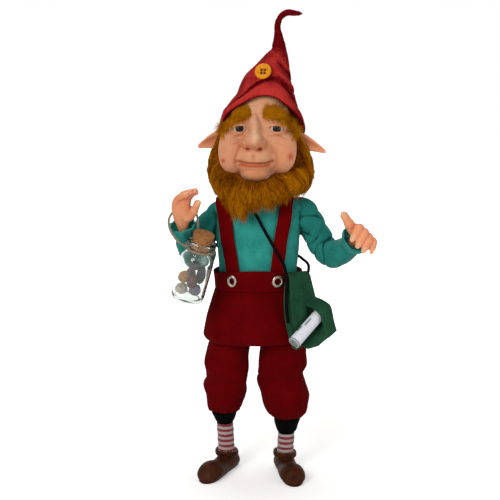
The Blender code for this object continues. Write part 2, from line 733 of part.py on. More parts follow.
def make_button():
    """A four-hole button with a raised rim, flat on the cone's front."""
    r, t = BUTTON_RADIUS, BUTTON_THICKNESS
    profile = [
        (0.4 * MM, 0), (r * 0.8, 0), (r, t * 0.35), (r, t * 0.7), (r * 0.9, t), (r * 0.72, t),
        (r * 0.6, t * 0.62), (0.4 * MM, t * 0.62),
    ]
    button = turned("hat_button", profile, "button_yellow", steps=18)
    holes = []
    for turn in range(4):
        corner = math.radians(45 + 90 * turn)
        spot = Vector((math.cos(corner), math.sin(corner), 0)) * r * 0.27
        holes.append(
            rod("button_hole", spot - Vector((0, 0, t)), spot + Vector((0, 0, 2 * t)), 0.65 * MM, segments=6)
        )
    combine(button, holes, "DIFFERENCE")
    middle = hat_surface(BUTTON_SPOT[0], BUTTON_SPOT[1])
    across = hat_surface(
        BUTTON_SPOT[0] + 0.3, BUTTON_SPOT[1],
    ) - hat_surface(BUTTON_SPOT[0] - 0.3, BUTTON_SPOT[1])
    upwards = hat_surface(
        BUTTON_SPOT[0], BUTTON_SPOT[1] + 4 * MM,
    ) - hat_surface(BUTTON_SPOT[0], BUTTON_SPOT[1] - 4 * MM)
    outwards = Vector(np.cross(across, upwards)).normalized()
    place(button, Matrix.Translation(Vector(middle) + outwards * BUTTON_STANDOFF) @ turn_to(outwards))


def hat_surface(angle, z):
    """A point on the hat's outside, folds included."""
    angle, z = np.array([angle]), np.array([z])
    return hat_point(angle, z, inset=-hat_fold(angle, z, brim_level(angle)))[0]


BUTTON_SPOT = (-0.42, HEAD_Z + 40.2 * MM)      # angle from the front, and height
BUTTON_STANDOFF = 0.9 * MM


# Torso, sweater and stuffed body

NECK_FOOT_Z = COLLAR_Z - 7.0 * MM
WAIST_Z = BAND_LOW_Z + BAND_HEIGHT
SWEATER_HEM_Z = BAND_LOW_Z - 4.0 * MM
CORNER = 0.86               # how square the torso's cross-section is; 1 is an ellipse


def torso_sizes(z):
    """(half width, half depth) of the sweater at a height."""
    low, top, collar = WAIST_Z / MM, SHOULDER_Z / MM, COLLAR_Z / MM
    half = smooth_curve(
        z / MM,
        [
            (low - 30, 24.5), (low, 26.2), (low + 20, 27.8), (top - 8, 29.6), (top, 29.8),
            (collar - 7, 27.6), (collar - 4.5, 23.5), (collar - 2.2, 17.0), (collar, 11.5),
        ],
    )
    depth = smooth_curve(
        z / MM,
        [
            (low - 30, 16.8), (low, 17.6), (low + 20, 18.6), (top - 10, 18.4), (top, 15.6),
            (collar - 5, 13.0), (collar - 2, 11.0), (collar, 9.8),
        ],
    )
    return half * MM, depth * MM


def torso_point(angle, z, grow=0.0):
    """A point on the torso at an angle from the front and a height, grown outwards."""
    half, depth = torso_sizes(z)
    sine, cosine = np.sin(angle), np.cos(angle)
    x = (half + grow) * np.sign(sine) * np.abs(sine) ** CORNER
    y = -(depth + grow) * np.sign(cosine) * np.abs(cosine) ** CORNER
    return np.stack(np.broadcast_arrays(x, y, z), axis=-1)


def torso_loft(name, low, high, inset=0.0, sink=0.0, folds=0.0, slot=None, columns=36):
    """The torso between two heights, drawn inwards by the inset and down from the shoulders by sink."""
    angle = np.linspace(-math.pi, math.pi, columns, endpoint=False)
    shoulder = SHOULDER_Z - 10 * MM
    levels = np.concatenate([np.linspace(low, shoulder, 5), np.linspace(shoulder, high, 8)[1:]])
    z = levels[:, None] * np.ones(columns)
    drape = folds * np.sin(3 * angle + z / (7 * MM)) * bump((z - WAIST_Z - 20 * MM) / MM, 20.0)
    rings = torso_point(angle[None, :], z, drape - inset)
    rings[..., 2] -= sink * np.clip((z - shoulder) / (8 * MM), 0.0, 1.0)
    return loft(name, rings, slot, start="flat", end="flat")


ARMS = {
    "left": {
        "route": [
            (-19, 1, 179), (-29.4, 1.5, 177.8), (-36.2, 3, 165), (-37.2, -1, 155), (-41.5, -9, 156),
            (-45.5, -17, 164.5), (-47.6, -23, 172.5), (-49, -26.5, 180.5),
        ],
        "radii": [
            (0, 9.0), (0.16, 9.4), (0.35, 8.6), (0.5, 8.9), (0.68, 8.4), (0.82, 7.2), (0.885, 5.6),
            (0.93, 7.0), (1, 8.6),
        ],
    },
    "right": {
        "route": [
            (19, 1, 179), (31.4, 2, 179.4), (39.7, 3, 168), (44.1, 1, 159), (50, -7, 157.1), (56.5, -15, 161.5),
            (61, -21.5, 167), (64, -27.5, 172),
        ],
        "radii": [
            (0, 9.0), (0.2, 9.4), (0.42, 9.2), (0.6, 9.0), (0.74, 8.6), (0.86, 7.0), (0.93, 9.0),
            (1, 10.4),
        ],
    },
}
ARM_CORE_RADIUS = 3.4 * MM
ARM_SHARE = 0.8             # the stuffed arm ends against the hand's wrist, inside the sleeve
WRIST_SHARE = ARM_SHARE + 0.009


def arm_path(side, count=23):
    return smooth_path(np.array(ARMS[side]["route"]) * MM, count)


def arm_point(side, share):
    """The point of the arm's route at a share of its length."""
    path = arm_path(side, 101)
    return np.stack([np.interp(share, np.linspace(0, 1, 101), path[:, k]) for k in range(3)], axis=-1)


def sleeve_folds(share, angle):
    """Wrinkles across the sleeve, deepest in the crook of the elbow, and pleats at the cuff."""
    wrinkle = 0.07 * np.sin(share * 46.0 + 1.5 * np.cos(angle)) * bump(share - 0.5, 0.3)
    pleats = 0.10 * np.cos(6 * angle) * np.clip((share - 0.9) / 0.1, 0, 1)
    return wrinkle + pleats


def sleeve(name, side, inset=0.0, folds=True, start=0.0, end=1.0, radius=None, beyond=None):
    sides = 18 if folds else 8
    share = np.linspace(start, end, 29 if folds else 20)
    if beyond is not None:
        share = np.append(share, end + beyond)
    path = arm_point(side, share)
    radii = smooth_curve(share, ARMS[side]["radii"]) * MM - inset
    if radius is not None:
        radii = np.full(len(path), radius)
    rings = tube_rings(path, radii, sides, swell=sleeve_folds if folds else None)
    return loft(name, rings, start="flat", end="flat")


def core_shape(name, slot):
    """The stuffed torso with its two arms, which the sweater is worn over."""
    body = torso_loft(
        name, BODY_FOOT_Z, NECK_FOOT_Z + 0.8 * MM, inset=SWEATER_WALL + SOFT_GAP,
        sink=SWEATER_WALL + SOFT_GAP, slot=slot, columns=20,
    )
    arms = [
        sleeve("arm", side, folds=False, end=ARM_SHARE, radius=ARM_CORE_RADIUS)
        for side in ARMS
    ]
    return combine(body, arms, "UNION")


BODY_FOOT_Z = BAND_LOW_Z - 20.0 * MM


def make_torso():
    core_shape("stuffed_body", "body_cloth")
    sweater = torso_loft("sweater", SWEATER_HEM_Z, COLLAR_Z, folds=0.35 * MM, slot="sweater_teal")
    melt(sweater, [sleeve("sleeve", side) for side in ARMS], 0.9 * MM)
    thin_out(sweater, 1300)
    hollows = [
        torso_loft(
            "hollow", SWEATER_HEM_Z - 5 * MM, COLLAR_Z + 5 * MM, inset=SWEATER_WALL, sink=SWEATER_WALL,
            columns=20,
        )
    ]
    hollows += [
        sleeve(
            "arm_room", side, folds=False, end=ARM_SHARE, radius=ARM_CORE_RADIUS + SOFT_GAP, beyond=0.04,
        ) for side in ARMS
    ]
    for side in ARMS:
        path = arm_path(side, 21)
        outwards = path[-1] + (path[-1] - path[-2])
        share = np.linspace(0.0, 1.05, 22)
        radii = smooth_curve(share, ARMS[side]["radii"]) * MM - CLOTH
        rings = tube_rings(np.vstack([path, outwards]), radii, 12)
        hollows.append(loft("cuff_room", rings[share > ARM_SHARE - 0.04], start="flat", end="flat"))
    combine(sweater, hollows, "DIFFERENCE")


# Hands: palms and fingers grown together

def finger(route, radii):
    path = smooth_path(np.array(route) * MM, 7)
    share = np.linspace(0, 1, 7)
    radius = smooth_curve(share, [(0, radii[0]), (0.8, radii[1]), (1, radii[1] * 0.6)]) * MM
    return loft("finger", tube_rings(path, radius, 10))


def grown_hand(name, fingers, palm_rings):
    """Joins the palm and fingers, melts them into one skin and thins it."""
    hand = melt(loft(name, palm_rings, "skin"), fingers, 0.55 * MM)
    thin_out(hand, 500)


def palm_shape(route, widths, depths, across):
    """Oval rings along a route; across is the direction of the palm's breadth."""
    path = smooth_path(np.array(route) * MM, 12)
    share = np.linspace(0, 1, 12)
    wide = smooth_curve(share, widths) * MM
    deep = smooth_curve(share, depths) * MM
    tangent = np.gradient(path, axis=0)
    tangent /= np.linalg.norm(tangent, axis=1)[:, None]
    broad = np.array(across) - tangent * (tangent @ np.array(across))[:, None]
    broad /= np.linalg.norm(broad, axis=1)[:, None]
    thin = np.cross(tangent, broad)
    turn = np.linspace(0, 2 * math.pi, 14, endpoint=False)
    sideways = (wide[:, None] * np.cos(turn))[:, :, None] * broad[:, None]
    inwards = (deep[:, None] * np.sin(turn))[:, :, None] * thin[:, None]
    return path[:, None] + sideways + inwards


def make_hands():
    left_palm = palm_shape(
        [
            arm_point("left", WRIST_SHARE) / MM, (-47.9, -24.0, 174.5), (-48.8, -26.6, 181),
            (-48.8, -28.6, 187), (-49.4, -29.4, 193), (-49.0, -30.4, 198.0),
        ],
        [(0, 3.0), (0.25, 3.0), (0.44, 3.8), (0.59, 5.8), (0.78, 6.4), (0.93, 5.6), (1, 3.5)],
        [(0, 2.8), (0.25, 2.8), (0.48, 3.2), (0.7, 3.2), (1, 2.2)],
        (1, 0, 0.12),
    )
    left_fingers = [
        finger(
            [(-53.4, -29.4, 193), (-52.0, -31.4, 197.6), (-48.0, -34.6, 200.6), (-44.4, -36.6, 201.4)],
            (2.4, 1.8),
        ),
        finger(
            [(-51.0, -29.6, 194), (-49.4, -31.2, 199.4), (-45.4, -34.2, 202.6), (-41.6, -36.4, 203.6)],
            (2.5, 1.8),
        ),
        finger(
            [(-48.2, -29.6, 194), (-46.6, -30.4, 199.6), (-42.6, -33.2, 202.8), (-38.6, -35.0, 204.2)],
            (2.5, 1.8),
        ),
        finger(
            [(-46.0, -29.2, 193), (-44.4, -29.4, 198.4), (-41.4, -31.2, 201.4), (-38.2, -32.6, 202.6)],
            (2.4, 1.7),
        ),
        finger(
            [(-46.4, -29.4, 184.8), (-42.6, -32.2, 188.2), (-40.0, -34.6, 193.0), (-37.9, -35.8, 198.0)],
            (3.2, 2.3),
        ),
    ]
    grown_hand("hand_left", left_fingers, left_palm)
    right_palm = palm_shape(
        [
            arm_point("right", WRIST_SHARE) / MM, (61.2, -21.8, 167.6), (63.4, -26.4, 171),
            (65.6, -31.5, 174.5), (66.6, -36.5, 176.0),
        ],
        [(0, 3.0), (0.28, 3.0), (0.5, 3.8), (0.71, 6.6), (0.93, 6.2), (1, 3.5)],
        [(0, 3.0), (0.28, 3.0), (0.5, 3.4), (0.71, 4.2), (1, 2.5)],
        (0.72, 0, -0.69),
    )
    right_fingers = [
        finger(
            [(63.0, -35.0, 178.0), (64.4, -39.4, 180.8), (61.8, -43.0, 178.0), (59.6, -43.6, 173.8)],
            (3.0, 2.6),
        ),
        finger(
            [(65.0, -35.0, 175.6), (67.6, -40.0, 178.0), (65.2, -43.6, 174.2), (62.6, -43.8, 169.8)],
            (3.0, 2.6),
        ),
        finger(
            [(67.4, -35.0, 173.4), (70.4, -39.4, 174.8), (68.6, -42.6, 170.6), (66.2, -42.6, 166.6)],
            (2.9, 2.5),
        ),
        finger(
            [(69.2, -34.5, 171.2), (72.8, -38.0, 172.2), (72.6, -40.6, 168.6), (71.2, -40.4, 166.0)],
            (2.8, 2.3),
        ),
        finger(
            [(62.0, -31.0, 177.0), (58.4, -36.0, 182.0), (55.4, -38.0, 187.0), (53.2, -38.4, 190.6)],
            (3.9, 2.7),
        ),
    ]
    grown_hand("hand_right", right_fingers, right_palm)


# Waistband, eyelets and braces

EYELET_X = (-17.0 * MM, 12.9 * MM)
EYELET_Z = BAND_LOW_Z + 7.2 * MM
STRAP_LINES = ((-16.2, -23.4, -9.0), (11.5, 19.0, 9.0))   # x at the front foot, shoulder and back foot


def angle_at(x, z, grow=0.0):
    """The angle from the front at which the torso reaches an x."""
    half, _ = torso_sizes(z)
    return np.arcsin(np.clip(np.sign(x) * (np.abs(x) / (half + grow)) ** (1 / CORNER), -1.0, 1.0))


def make_band():
    angle = np.linspace(-math.pi, math.pi, 44, endpoint=False)
    low, high = BAND_LOW_Z, BAND_LOW_Z + BAND_HEIGHT
    rim = 0.25 * MM
    section = [(0.0, low + rim), (0.0, high), (CLOTH, high), (CLOTH, low)]
    dip = 1.2 * MM * (1 - np.cos(angle)) / 2 + BAND_SIDE_DIP * np.sin(angle) ** 2
    rings = np.stack(
        [
            torso_point(
                angle, np.full_like(angle, z), BAND_STANDOFF + out,
            ) - np.outer(dip * (z == high), (0, 0, 1)) for out, z in section
        ],
        axis=1,
    )
    band = loft("waistband", rings, "trouser_red", start="closed", end="closed")
    holes = []
    for x in EYELET_X:
        spot, outwards = eyelet_seat(x)
        holes.append(
            rod(
                "band_hole", spot - outwards * 8 * MM, spot + outwards * 6 * MM, EYELET_BARREL + GAP,
                segments=12,
            )
        )
    combine(band, holes, "DIFFERENCE")


def eyelet_seat(x):
    """A point on the band's face and its outward direction."""
    z = np.array([EYELET_Z])
    grow = BAND_STANDOFF + CLOTH
    angle = angle_at(np.array([x]), z, grow)
    here = torso_point(angle, z, grow)[0]
    beside = torso_point(angle + 0.05, z, grow)[0] - torso_point(angle - 0.05, z, grow)[0]
    outwards = Vector(np.cross(beside, (0, 0, 1))).normalized()
    if outwards.y > 0:
        outwards = -outwards
    return Vector(here), outwards


def make_eyelets():
    """Pressed rings: a domed flange outside and a short barrel through the band."""
    profile = [
        (EYELET_HOLE, -CLOTH), (EYELET_BARREL, -CLOTH), (EYELET_BARREL, EYELET_PROUD),
        (EYELET_RADIUS, EYELET_PROUD),
        (EYELET_RADIUS - 0.4 * MM, EYELET_PROUD + 0.6 * MM),
        (EYELET_HOLE + 0.7 * MM, EYELET_PROUD + 0.8 * MM), (EYELET_HOLE, EYELET_PROUD + 0.3 * MM),
    ]
    for side, x in zip(("left", "right"), EYELET_X):
        eyelet = turned(f"eyelet_{side}", profile, "eyelet_metal", steps=14, closed=True)
        spot, outwards = eyelet_seat(x)
        place(eyelet, Matrix.Translation(spot) @ turn_to(outwards))


EYELET_PROUD = 0.45 * MM


def strap_point(line, turn, across, grow):
    """A point of a brace: turn runs from 0 at the front foot over the shoulder to pi at the back foot."""
    front, shoulder, back = line
    foot = np.where(turn < math.pi / 2, front, back) * MM
    x = foot + (shoulder * MM - foot) * np.sin(turn) ** 1.2 + across
    low = BAND_LOW_Z + BAND_HEIGHT - 5 * MM
    levels = np.linspace(SHOULDER_Z - 6 * MM, COLLAR_Z, 60)
    halves, _ = torso_sizes(levels)
    crest = np.interp(-np.abs(x), -halves, levels)
    z = low + (crest - low) * np.sin(turn)
    half, depth = torso_sizes(z)
    share = np.clip(np.abs(x) / half, 0.0, 1.0) ** (1 / CORNER)
    y = -np.sign(np.cos(turn)) * depth * np.sqrt(np.maximum(1 - share**2, 0.0)) ** CORNER
    spot = np.stack([x, y, z], axis=-1)
    lift = np.stack(
        [
            x / half**2 * 0.5, y / depth**2,
            np.clip((z - SHOULDER_Z + 8 * MM) / (10 * MM), 0, 1.5) * 0.06 / MM,
        ],
        axis=-1,
    )
    lift /= np.linalg.norm(lift, axis=-1)[..., None]
    return spot + lift * grow


STRAP_STANDOFF = (0.65 * MM, 1.25 * MM)     # over the waist and over the shoulders


def make_straps():
    for side, line in zip(("left", "right"), STRAP_LINES):
        turn = np.linspace(0.0, math.pi, 30)
        across = np.array([-0.5, 0.0, 0.5]) * STRAP_WIDTH
        turns = turn[:, None] * np.ones(3)
        waist, shoulder = STRAP_STANDOFF
        off = (waist + (shoulder - waist) * np.clip(np.sin(turns) * 3.0, 0.0, 1.0))[..., None]
        low = strap_point(line, turns, across[None, :], off)
        high = strap_point(line, turns, across[None, :], off + STRAP_THICKNESS)
        loft(
            f"brace_{side}", np.concatenate([low, high[:, ::-1]], axis=1), "trouser_red", start="flat",
            end="flat",
        )


# Trousers, legs, socks and shoes

SEAT = [  # (height over the hem, centre x, half width, half depth)
    (-1.5, 0.0, 24.0, 17.0), (-0.6, -0.5, 30.5, 22.0), (1.2, -0.8, 34.6, 24.6), (4.5, -1.2, 35.8, 25.4),
    (9, -1.0, 35.2, 25.2), (18, -0.6, 33.4, 24.2),
    (27, -0.2, 31.0, 22.6), (33, 0.0, 29.2, 20.8), (35.7, 0.0, 28.4, 19.9),
]
LEGS = {
    "left": {
        "trouser": [
            (108, -18, 2, 13.0), (98, -19, 2.5, 13.6), (90, -20.2, 3, 14.4), (80, -21.4, 3.5, 15.0),
            (71, -20.6, 4, 14.4), (63, -22.4, 4.5, 14.8), (56, -22.3, 5.5, 13.6), (50, -22.6, 6, 12.0),
            (46, -23.0, 7, 10.3),
        ],
        "leg": [
            (112, -15, 2, 7.6), (80, -19, 3.6, 8.2), (56, -22.8, 5.4, 7.9), (47, -23.1, 7.0, 7.9),
            (43.6, -23.2, 7.8, 8.6), (40, -23.0, 8.8, 7.6), (36.4, -22.8, 9.8, 6.0),
            (35.4, -22.7, 10.0, 4.3), (20, -22.0, 12.4, 4.3), (8, -21.5, 13.6, 4.3),
        ],
        "ankle": (-21.5, 13.6),
        "toe": (-19.0, -38.6),
    },
    "right": {
        "trouser": [
            (108, 17, 2, 13.4), (98, 17, 2.5, 14.6), (90, 17.0, 3, 15.6), (80, 16.8, 3.5, 16.4),
            (73, 15.6, 4, 15.6), (65, 16.6, 4.5, 16.6), (57, 18.2, 5, 16.6), (49, 19.4, 5.5, 15.0),
            (44, 20.0, 6, 12.6), (41.5, 20.2, 6.6, 10.6),
        ],
        "leg": [
            (112, 14, 2, 7.6), (80, 17, 3.6, 8.4), (50, 20, 5.2, 8.2), (42.6, 20.2, 6.5, 8.2),
            (38.6, 20.2, 7.2, 9.0), (34, 20.0, 8.0, 7.8), (29.4, 19.8, 8.8, 6.2), (28.4, 19.8, 9.0, 4.3),
            (18, 19.3, 10.2, 4.3), (8, 18.9, 11.0, 4.3),
        ],
        "ankle": (18.9, 11.0),
        "toe": (9.0, -46.0),
    },
}


def by_height(table, z, column):
    rows = sorted(table)
    return smooth_curve(z, [(row[0], row[column]) for row in rows])


def oval_rings(table, heights, grow=0.0, sides=24, folds=0.0, flatten=1.0):
    """Level rings of a limb from its table of (height, x, y, radius), in millimetres."""
    angle = np.linspace(0, 2 * math.pi, sides, endpoint=False)
    z = np.array(heights, float)
    x, y, radius = (by_height(table, z, k) for k in (1, 2, 3))
    pucker = folds * (
        np.sin(3 * angle[None, :] + z[:, None] * 0.35) + np.sin(5 * angle[None, :] - z[:, None] * 0.2)
    )
    reach = radius[:, None] + grow / MM + pucker
    return np.stack(
        [
            x[:, None] + reach * np.cos(angle), y[:, None] + reach * np.sin(angle) * flatten,
            z[:, None] * np.ones(sides),
        ], axis=-1
    ) * MM


def seat_rings(inset=0.0, top=0.0):
    columns = 20 if inset else 32
    angle = np.linspace(-math.pi, math.pi, columns, endpoint=False)
    rise = np.array([row[0] for row in SEAT])
    z = (HEM_Z + rise * MM)[:, None] * np.ones(columns)
    rings = []
    for row, level in zip(SEAT, z):
        drape = 0.5 * MM * np.sin(5 * angle) * max(0.0, 1 - abs(row[0] - 5) / 12)
        half, depth = row[2] * MM - inset + drape, row[3] * MM - inset + drape
        height = level + 1.0 * MM * np.sin(angle * 1.0 + 0.6) * (row[0] < 10)
        rings.append(np.stack([row[1] * MM + half * np.sin(angle), -depth * np.cos(angle), height], axis=-1))
    if inset:
        rings[0][:, 2] += inset
        rings[1][:, 2] += inset * 0.6
        rings[-1][:, 2] += 4 * MM
    return rings


def make_trousers():
    trousers = loft("trousers", seat_rings(), "trouser_red", start="flat", end="flat")
    room = loft("seat_room", seat_rings(CLOTH), start="flat", end="flat")
    limbs, rooms = [], []
    for side, leg in LEGS.items():
        heights = np.linspace(leg["trouser"][0][0], leg["trouser"][-1][0], 12)
        limbs.append(
            loft("limb", oval_rings(leg["trouser"], heights, sides=22, folds=0.3), start="flat", end="flat")
        )
        inner = oval_rings(
            leg["trouser"], np.linspace(heights[0], heights[-1], 7), grow=-CLOTH - 0.2 * MM, sides=14,
        )
        below = inner[-1] - np.array((0, 0, 3 * MM))
        rooms.append(loft("limb_room", np.concatenate([inner, below[None]]), start="flat", end="flat"))
    combine(trousers, limbs, "UNION")
    thin_out(trousers, 1000)
    combine(room, rooms, "UNION")
    combine(trousers, [room], "DIFFERENCE")


def make_legs():
    for side, leg in LEGS.items():
        heights = sorted({row[0] for row in leg["leg"]} | {66}, reverse=True)
        loft(
            f"leg_{side}", oval_rings(leg["leg"], heights, sides=12), "black_cloth", start="flat",
            end="flat",
        )
        step = min(row[0] for row in leg["leg"] if row[3] > 5.9) - 1.4
        rings_out = oval_rings(
            leg["leg"], np.linspace(step, SOCK_FOOT_Z / MM, 5), grow=SOCK_RADIUS - SHIN_RADIUS, sides=14,
        )
        rings_in = oval_rings(leg["leg"], np.linspace(SOCK_FOOT_Z / MM, step, 4), grow=GAP, sides=14)
        loft(
            f"sock_{side}", np.concatenate([rings_out, rings_in]), "sock_stripe", start="closed",
            end="closed",
        )


SOCK_FOOT_Z = 7.2 * MM


def make_shoe(side):
    """A soft round-toed shoe with a flat sole, an ankle collar and a well for the sock."""
    leg = LEGS[side]
    forward = np.array((*leg["toe"], 0.0))
    forward /= np.linalg.norm(forward)
    sideways = np.array((-forward[1], forward[0], 0.0))
    ankle = np.array((*leg["ankle"], 0.0)) * MM
    heel = ankle - forward * SHOE_LENGTH * 0.27
    share = np.array([0.0, 0.02, 0.07, 0.15, 0.27, 0.38, 0.48, 0.58, 0.68, 0.78, 0.87, 0.94, 0.985, 1.0])
    half = smooth_curve(
        share,
        [
            (0, 0.8), (0.02, 3.4), (0.07, 5.6), (0.15, 6.8), (0.3, 7.2), (0.45, 7.2), (0.6, 8.0),
            (0.78, 8.7), (0.88, 8.0), (0.95, 5.8), (0.985, 3.4), (1, 0.8),
        ],
    ) * MM
    tall = smooth_curve(
        share,
        [
            (0, 4.5), (0.05, 9), (0.15, 12.6), (0.28, 12.4), (0.4, 11.2), (0.5, 10.4), (0.62, 11.4),
            (0.76, 12.8), (0.88, 11.6), (0.95, 8.6), (1, 5),
        ],
    ) * MM
    angle = np.linspace(0, 2 * math.pi, 16, endpoint=False)
    mid = tall * 0.36
    height = mid[:, None] + np.where(
        np.sin(angle) > 0, (tall - mid)[:, None] * np.sin(angle), mid[:, None] * 1.35 * np.sin(angle),
    )
    height = np.maximum(height, 0.0)
    narrow = 1 - 0.12 * np.clip(-np.sin(angle), 0, 1)
    rings = heel + forward * (share * SHOE_LENGTH)[:, None, None] + sideways * (
        half[:, None] * np.cos(angle) * narrow
    )[..., None] + np.array((0, 0, 1.0)) * height[..., None]
    shoe = loft(f"shoe_{side}", rings, "shoe_brown")
    collar = turned(
        "collar",
        [
            (SOCK_RADIUS + 2.0 * MM, 4 * MM), (SOCK_RADIUS + 2.3 * MM, 9 * MM),
            (SOCK_RADIUS + 1.9 * MM, SHOE_HEIGHT),
        ],
        steps=16,
    )
    place(collar, Matrix.Translation(ankle))
    combine(shoe, [collar], "UNION")
    well = rod(
        "well", ankle + np.array((0, 0, SOCK_FOOT_Z - GAP)),
        ankle + np.array((0, 0, SHOE_HEIGHT + 8 * MM)), SOCK_RADIUS + 0.9 * MM, segments=14,
    )
    combine(shoe, [well], "DIFFERENCE")


# Bottle, cork, pebbles and twine

def bottle_matrix():
    return Matrix.Translation(BOTTLE_BASE) @ turn_to(BOTTLE_AXIS)


def make_bottle():
    r, h, w = BOTTLE_RADIUS, BOTTLE_HEIGHT, BOTTLE_WALL
    shoulder = h - 12.5 * MM
    outer = [
        (r - 2.2 * MM, 0), (r - 0.6 * MM, 0.6 * MM), (r, 2.2 * MM), (r, shoulder),
        (r - 0.7 * MM, shoulder + 2.6 * MM), (r - 2.2 * MM, shoulder + 5 * MM),
        (NECK_RADIUS, shoulder + 6.6 * MM), (NECK_RADIUS, h - 2.9 * MM),
        (LIP_RADIUS - 0.4 * MM, h - 2.6 * MM), (LIP_RADIUS, h - 1.3 * MM),
        (LIP_RADIUS - 0.6 * MM, h - 0.2 * MM), (LIP_RADIUS - 1.4 * MM, h),
    ]
    inner = [
        (MOUTH_RADIUS, h), (MOUTH_RADIUS, shoulder + 6.6 * MM), (r - 3.6 * MM, shoulder + 4.2 * MM),
        (r - w - 0.6 * MM, shoulder + 1.6 * MM), (r - w, shoulder - 0.6 * MM), (r - w, 3.4 * MM),
        (r - w - 1.4 * MM, 2.2 * MM),
    ]
    bottle = turned("bottle", outer + inner, "bottle_glass", steps=20)
    place(bottle, bottle_matrix())
    top = h + CORK_PROUD
    cork = turned(
        "cork",
        [
            (MOUTH_RADIUS - GAP - 0.4 * MM, top - CORK_LENGTH),
            (MOUTH_RADIUS - GAP, top - CORK_LENGTH + 0.6 * MM), (MOUTH_RADIUS - GAP, h),
            (MOUTH_RADIUS + 0.6 * MM, h + 1.6 * MM), (MOUTH_RADIUS + 0.9 * MM, top - 0.4 * MM),
            (MOUTH_RADIUS + 0.5 * MM, top),
        ],
        "cork_bark", steps=14,
    )
    place(cork, bottle_matrix())


PEBBLES = {  # place in the bottle and half sizes, in millimetres
    "pebble_lilac": ((2.6, -2.8, 6.6), (5.0, 3.8, 3.9), "pebble_pale"),
    "pebble_quartz": ((-3.2, 3.8, 6.4), (4.8, 4.0, 3.7), "pebble_pale"),
    "pebble_brown": ((-4.6, -3.2, 14.4), (3.9, 3.2, 5.0), "pebble_red"),
    "pebble_grey": ((4.0, -3.4, 17.2), (3.5, 3.3, 6.4), "pebble_grey"),
    "pebble_garnet": ((4.4, 4.2, 14.4), (3.8, 3.6, 5.2), "pebble_red"),
    "pebble_ochre": ((-3.8, 3.8, 14.8), (4.0, 3.6, 4.3), "pebble_pale"),
    "pebble_black": ((-1.2, 0.2, 24.0), (4.6, 4.0, 3.2), "pebble_grey"),
}


def make_pebbles():
    for name, (spot, half, slot) in PEBBLES.items():
        pebble = ball(name, Vector(), 1.0, slot, segments=8, rings=6)
        sizes = Matrix.Diagonal((*(Vector(half) * MM), 1.0))
        place(pebble, bottle_matrix() @ Matrix.Translation(Vector(spot) * MM) @ sizes)


def bottle_ring_point(turn, height, out):
    """A point beside the bottle's neck, turn measured from its front."""
    local = Vector((math.sin(turn) * out, -math.cos(turn) * out, height))
    return bottle_matrix() @ local


def cord_curve(name, route, diameter, count, slot):
    """A round cord along a smooth route, as a bevelled curve with filled ends."""
    points = smooth_path(route, count)
    data = bpy.data.curves.new(name, "CURVE")
    data.dimensions = "3D"
    data.bevel_depth = diameter / 2
    data.bevel_resolution = 2
    data.use_fill_caps = True
    spline = data.splines.new("POLY")
    spline.points.add(count - 1)
    for point, spot in zip(spline.points, points):
        point.co = (*spot, 1.0)
    data.materials.append(material(slot))
    obj = bpy.data.objects.new(name, data)
    bpy.context.scene.collection.objects.link(obj)
    return obj


# up from the neck, behind the hand, past the crook of the thumb and down behind the cork
TWINE_OVER_HAND = [
    (-50.0, -37.4, 170.6), (-54.6, -37.0, 176.0), (-57.0, -33.8, 180.6), (-56.8, -28.2, 186.0),
    (-53.6, -24.6, 189.6), (-48.4, -23.4, 191.6),
    (-43.4, -23.8, 191.6), (-40.0, -26.6, 188.4), (-38.8, -29.6, 183.6), (-38.8, -28.0, 178.6),
    (-39.6, -25.2, 174.4),
]


def make_twine():
    out = NECK_RADIUS + TWINE_DIAMETER / 2 + 1.8 * GAP
    top = BOTTLE_HEIGHT - 2.9 * MM - GAP - TWINE_DIAMETER / 2
    pitch = (TWINE_DIAMETER + GAP) / (2 * math.pi)
    wraps = [bottle_ring_point(turn, top - pitch * (4.2 - turn), out) for turn in np.linspace(-4.6, 4.2, 22)]
    loop = [Vector(p) * MM for p in TWINE_OVER_HAND]
    knot = bottle_ring_point(-4.0, top, out + TWINE_DIAMETER + 3 * GAP)
    cord_curve("twine", [*wraps, *loop, knot], TWINE_DIAMETER, 62, "twine_jute")


# Satchel: body, flap threaded over the rolled paper, paper and cord

def hang_point(x, y, z):
    """Where a point of the satchel's flat frame (x across, y inwards, z up) hangs at the hip."""
    low, high = BAG_TILTS
    bend = (high - low) / BAG_HEIGHT
    tilt = low + bend * max(-z, 0.0)
    spine_x = (math.cos(low) - math.cos(tilt)) / bend
    spine_z = -(math.sin(tilt) - math.sin(low)) / bend + max(z, 0.0)
    turn = Matrix.Rotation(BAG_TURN, 4, "Z") @ Matrix.Rotation(-BAG_LEAN, 4, "X")
    return BAG_TOP + turn @ Vector((spine_x + x * math.cos(tilt), y, spine_z + x * math.sin(tilt)))


def hang(obj):
    for vertex in obj.data.vertices:
        vertex.co = hang_point(*vertex.co)
    obj.data.update()
    return obj


def bag_flare(z):
    """Half width and half depth of the satchel at a height below its top."""
    share = np.clip(-z / BAG_HEIGHT, 0, 1)
    half = BAG_WIDTH / 2 * (0.71 + 0.31 * np.sin(np.minimum(1.4 * share, 1.0) * math.pi / 2))
    return half, BAG_DEPTH / 2 * (0.55 + 0.55 * np.sin(share * 2.6))


def make_bag():
    z = -BAG_HEIGHT * np.array([0.03, 0.2, 0.4, 0.6, 0.8, 0.93, 1.0])
    half, depth = bag_flare(z)
    half[-1] *= 0.93
    depth[-1] *= 0.6
    angle = np.linspace(-math.pi, math.pi, 24, endpoint=False)
    sine, cosine = np.sin(angle), np.cos(angle)
    rings = np.stack(
        [
            half[:, None] * np.sign(sine) * np.abs(sine) ** 0.45,
            -depth[:, None] * np.sign(cosine) * np.abs(cosine) ** 0.6, z[:, None] * np.ones(24),
        ], axis=-1
    )
    bag = loft("satchel", rings, "bag_felt", start="flat", end="flat")
    hang(bag)


